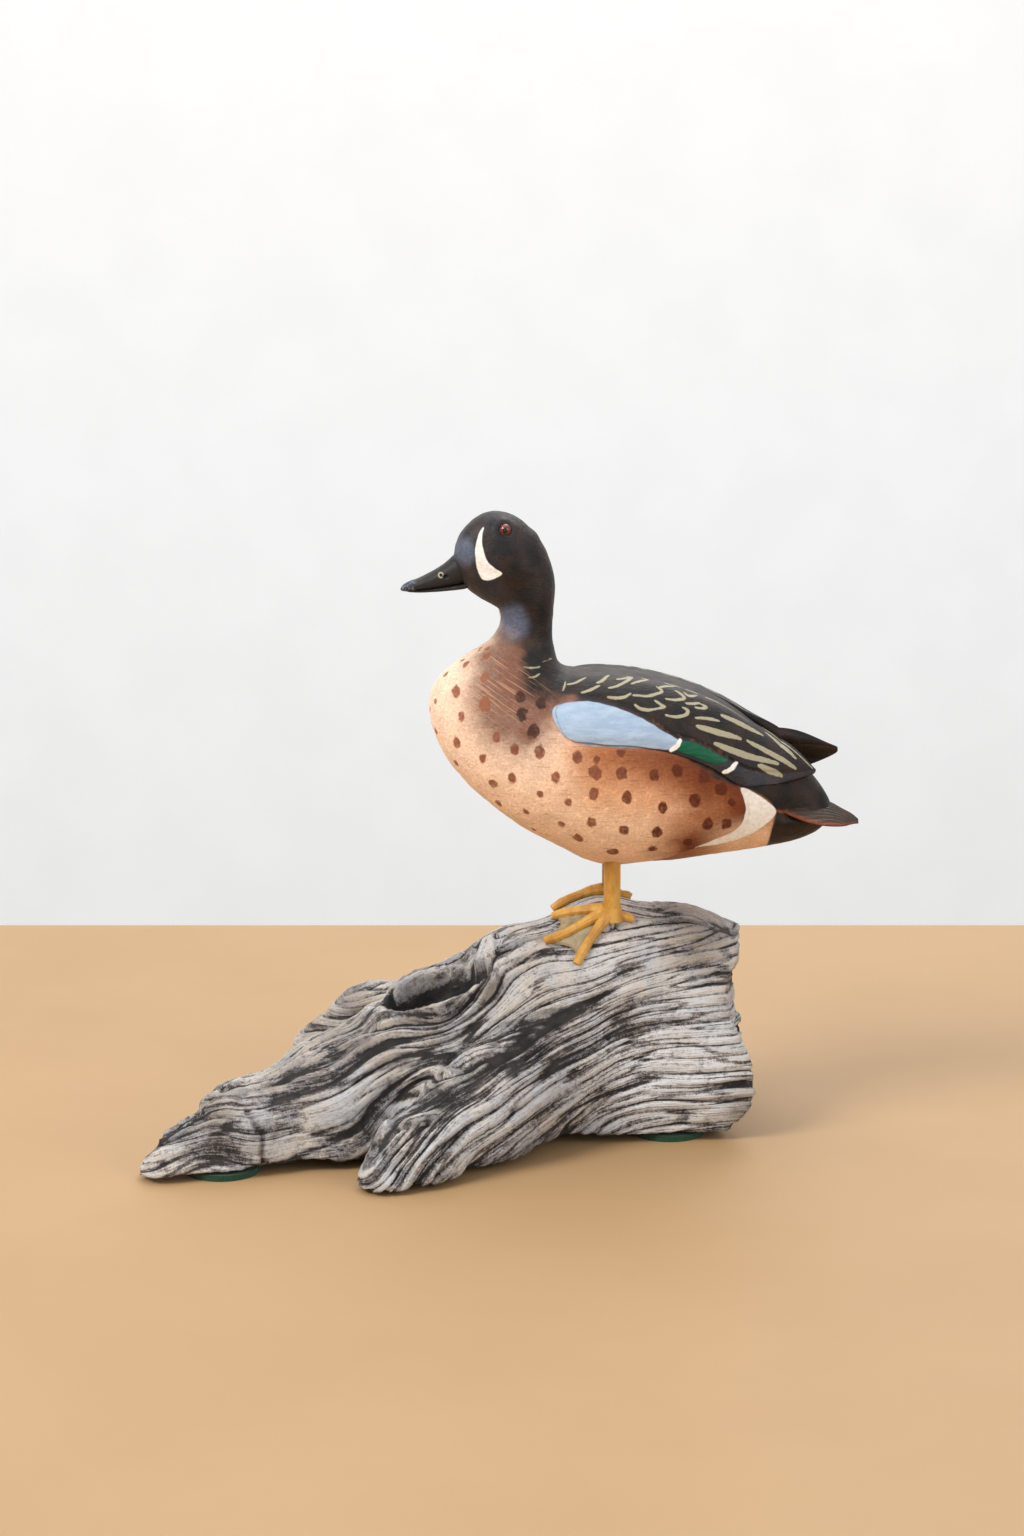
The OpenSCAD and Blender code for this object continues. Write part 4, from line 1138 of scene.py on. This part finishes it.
def soft_driftwood():
    """The CAD's driftwood as an even, softened mesh, with its places and normals."""
    rough = link("driftwood_rough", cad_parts["driftwood_base"].data.copy())
    skin = rough.modifiers.new("skin", "REMESH")
    skin.mode = "VOXEL"
    skin.voxel_size = VOXEL * MM
    soft = rough.modifiers.new("soft", "SMOOTH")
    soft.factor = 0.5
    soft.iterations = SOFTENING
    bpy.context.view_layer.update()
    graph = bpy.context.evaluated_depsgraph_get()
    mesh = bpy.data.meshes.new_from_object(rough.evaluated_get(graph))
    bpy.data.objects.remove(rough)
    found = []
    for key in ("co", "normal"):
        values = np.empty(len(mesh.vertices) * 3, np.float32)
        mesh.vertices.foreach_get(key, values)
        found.append(values.reshape(-1, 3).astype(float))
    return mesh, found[0] / MM - ORIGIN, found[1]


def make_driftwood(look):
    mesh, points, normal = soft_driftwood()
    sink = hollow_push(points, normal)
    across = grain_field()(side_view(points))
    run = 0.85 * points[:, 0] + 0.5 * points[:, 2]
    warp = 1.3 * value_noise(points, 16, 101)
    on_top = smooth(0.78, 0.93, normal[:, 2])
    sideways = points[:, 1] - np.interp(points[:, 0], TRUNK_X, TRUNK_Y)
    side_grain = np.column_stack([run, across + warp, 0.06 * points[:, 1]])
    top_grain = np.column_stack([points[:, 0] + 60, sideways + warp, 0.06 * points[:, 2]])
    parts = zip(grooves(side_grain), grooves(top_grain))
    fold, ridge, thin = [u + (v - u) * on_top for u, v in parts]
    valley = 1 - smooth(0, 0.42, np.abs(ridge))
    scratch = 1 - smooth(0, 0.5, np.abs(thin))
    broken = break_line(points)
    pits = smooth(0.45, 0.8, value_noise(points, 1.5, 106))
    strength = 0.5 + 0.5 * smooth(-0.5, 0.4, value_noise(points, 18, 107))
    rough_skin = value_noise(side_grain / [3.5, 1.3, 0.1], 1, 108) + value_noise(points, 1.6, 109)

    # Quieter where the duck stands and on the flat underside.
    flat_bottom = smooth(-0.6, -0.9, normal[:, 2]) * smooth(6, 3, points[:, 2])
    feet = np.hypot(points[:, 0] - FEET_X, (points[:, 1] - BIRD_Y) * 0.85)
    quiet = 1 - 0.75 * smooth(21, 14, feet) * smooth(0.3, 0.7, normal[:, 2])
    depth = quiet * (1 - 0.9 * flat_bottom)
    carved = 0.95 * fold - 1.6 * valley * strength - 0.4 * scratch - 0.3 * pits
    rise = depth * (carved + 0.14 * rough_skin + 0.4)
    # The folds under painted shade sink in; the bump on the pointed limb and the knob rise.
    rise -= 2.6 * quiet * place_field(points, SHADED_PLACES[:3], fold) * smooth(-0.2, -0.6, normal[:, 1])
    bump = np.hypot((points[:, 0] - BUMP_AT[0]) / 1.25, points[:, 2] - BUMP_AT[1])
    rise += 1.3 * smooth(6.5, 4.5, bump) * smooth(0.2, -0.2, normal[:, 1])
    rise -= 1.3 * broken
    knob = np.linalg.norm(points - KNOB_AT, axis=1) + 0.5 * fold
    rise += 1.7 * smooth(5, 1.5, knob)
    rise = np.where(points[:, 2] < 2.2, np.minimum(rise, 0), rise)
    # The wood spreads a little where it nears the table.
    foot_rim = smooth(8, 3, points[:, 2]) * smooth(0.9, 0.6, np.abs(normal[:, 2]))
    points = points + normal * rise[:, None] + sink
    points[:, :2] += 1.1 * foot_rim[:, None] * normal[:, :2]
    points[:, 2] -= 0.9 * foot_rim
    points[:, 2] = np.maximum(points[:, 2], LOWEST)

    noise = fractal(points, 6, 2, 111)
    near = smooth(0.2, -0.3, normal[:, 1])
    # Painted shade: the shaded places, full on the near side and weaker behind; the underside; the knot
    # hollow's depths.
    shade = place_field(points, SHADED_PLACES, noise) * (0.4 + 0.6 * near)
    shade = np.maximum(shade, 0.85 * smooth(-0.15, -0.75, normal[:, 2]))
    shade = np.maximum(shade, 1.5 * smooth(1.2, 4.5, np.linalg.norm(sink, axis=1)))
    level = 1.06 - 0.3 * pits + 0.22 * fold - 0.5 * broken - 0.5 * np.exp(-((knob - 4.4) / 0.6) ** 2)
    # The pale worn end of the front root.
    level += 0.8 * patch(points, *WHITE_AND_LIT_PLACES[0][:3])
    mesh.vertices.foreach_set("co", ((points + ORIGIN) * MM).astype(np.float32).ravel())
    write_floats(mesh, {
        "run": run, "across": (across + (sideways - across) * on_top) + warp,
        "level": level, "shade": shade, "ridge": ridge, "thin": thin, "bite": 0.45 + 0.55 * strength,
        "white": place_field(points, WHITE_AND_LIT_PLACES, noise),
        "brown": place_field(points, BROWN_PLACES, noise)})
    mesh.update()
    mesh.shade_smooth()
    return dress(link("driftwood_sculpt", mesh), "driftwood_base", look)


# ---------------------------------------------------------------- stage, light and camera
FLOOR_SIZE, FLOOR_EDGE, FLOOR_COLOUR = 3.0, 0.22, (175, 141, 100)
WALL_SIZE, WALL_Y, WALL_COLOUR = 8.0, 1.5, (243, 242, 241)
CAMERA_AT, CAMERA_TILT = (0.0016, -0.86885, 0.2839), 78
LENS, SENSOR = 80.7, 36
# Each light: name, place, what it points at, size, power and tint.
LIGHTS = [
    ("key", (-1.1, -0.7, 1.25), (0, 0, 0.08), 0.8, 24, (1.0, 0.985, 0.96)),
    ("fill", (1.3, -1.0, 0.7), (0, 0, 0.08), 1.2, 9, (0.97, 0.98, 1.0)),
    ("back", (0.4, 1.2, 1.3), (0, 0, 0.12), 0.9, 7, (1, 1, 1)),
    ("wall_wash", (0, 0.75, 1.9), (0, 1.5, 0.6), 1.6, 16, (1, 1, 1))]


def plane(name, size, at, turn, look):
    half = size / 2
    mesh = bpy.data.meshes.new(name)
    corners = [(-half, -half, 0), (half, -half, 0), (half, half, 0), (-half, half, 0)]
    mesh.from_pydata(corners, [], [(0, 1, 2, 3)])
    mesh.materials.append(look)
    obj = link(name, mesh)
    obj.location = at
    obj.rotation_euler = turn
    return obj


def make_stage():
    floor_at, wall_at = (0, FLOOR_EDGE - FLOOR_SIZE / 2, 0), (0, WALL_Y, 0)
    floor = plane("floor", FLOOR_SIZE, floor_at, (0, 0, 0), stage_look("floor_pale", FLOOR_COLOUR))
    wall = plane("wall", WALL_SIZE, wall_at, (math.pi / 2, 0, 0), stage_look("wall_pale", WALL_COLOUR))


def area_light(name, at, target, size, power, tint):
    data = bpy.data.lights.new(name, "AREA")
    data.shape = "DISK"
    data.size = size
    data.energy = power
    data.color = tint
    obj = link(name, data)
    obj.location = at
    aim = np.array(target, float) - np.array(at, float)
    tilt = math.atan2(math.hypot(aim[0], aim[1]), -aim[2])
    obj.rotation_euler = (tilt, 0, math.atan2(aim[1], aim[0]) - math.pi / 2)


def light_the_scene():
    for light in LIGHTS:
        area_light(*light)
    world = bpy.data.worlds.new("studio")
    world.use_nodes = True
    world.node_tree.nodes["Background"].inputs["Color"].default_value = (0.96, 0.98, 1.0, 1)
    world.node_tree.nodes["Background"].inputs["Strength"].default_value = 0.6
    bpy.context.scene.world = world
    bpy.context.scene.view_settings.view_transform = "Standard"


def make_camera():
    data = bpy.data.cameras.new("camera")
    data.lens = LENS
    data.sensor_width = SENSOR
    obj = link("camera", data)
    obj.location = CAMERA_AT
    obj.rotation_euler = (math.radians(CAMERA_TILT), 0, 0)
    bpy.context.scene.camera = obj


def dress_cad(names, look):
    """Gives CAD nodes that stay as they are a better material."""
    for name in names:
        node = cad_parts[name]
        node.data.materials.clear()
        node.data.materials.append(look)


def build():
    plumage = bird_look()
    bill = bill_look()
    eye = eye_look()
    make_body(plumage)
    left = wing_sheets(LEFT, LEFT_TIP, arch=1.0, flare=0.0, tip_depth=0.8)
    right = wing_sheets(RIGHT, RIGHT_TIP, arch=0.9, flare=2.2, tip_depth=4.3)
    make_wing("left_wing_sculpt", "left_wing", LEFT, left, plumage)
    make_wing("right_wing_sculpt", "right_wing", RIGHT, right, plumage)
    make_head(plumage)
    for node, table in (("upper_bill", UPPER_BILL), ("lower_bill", LOWER_BILL)):
        make_bill(node + "_sculpt", node, table, bill)
    for node, side in (("left_eye", LEFT), ("right_eye", RIGHT)):
        make_eye(node + "_sculpt", node, side, eye)
    make_tail(plumage)
    make_driftwood(wood_look())
    legs = ochre_look("ochre_paint", srgb(208, 158, 72), srgb(180, 127, 48), srgb(132, 90, 40))
    dress_cad(["left_leg", "right_leg", "left_foot", "right_foot"], legs)
    webs = ochre_look("olive_web_paint", srgb(160, 144, 110), srgb(126, 112, 84), srgb(90, 78, 60))
    dress_cad(["left_web", "right_web"], webs)
    dress_cad(["left_leg_pin", "right_leg_pin"], steel_look())
    dress_cad(["neck_dowel"], dowel_look())
    dress_cad(["felt_pad_tip", "felt_pad_near", "felt_pad_far", "felt_pad_root"], felt_look())
    make_stage()
    light_the_scene()
    make_camera()


build()
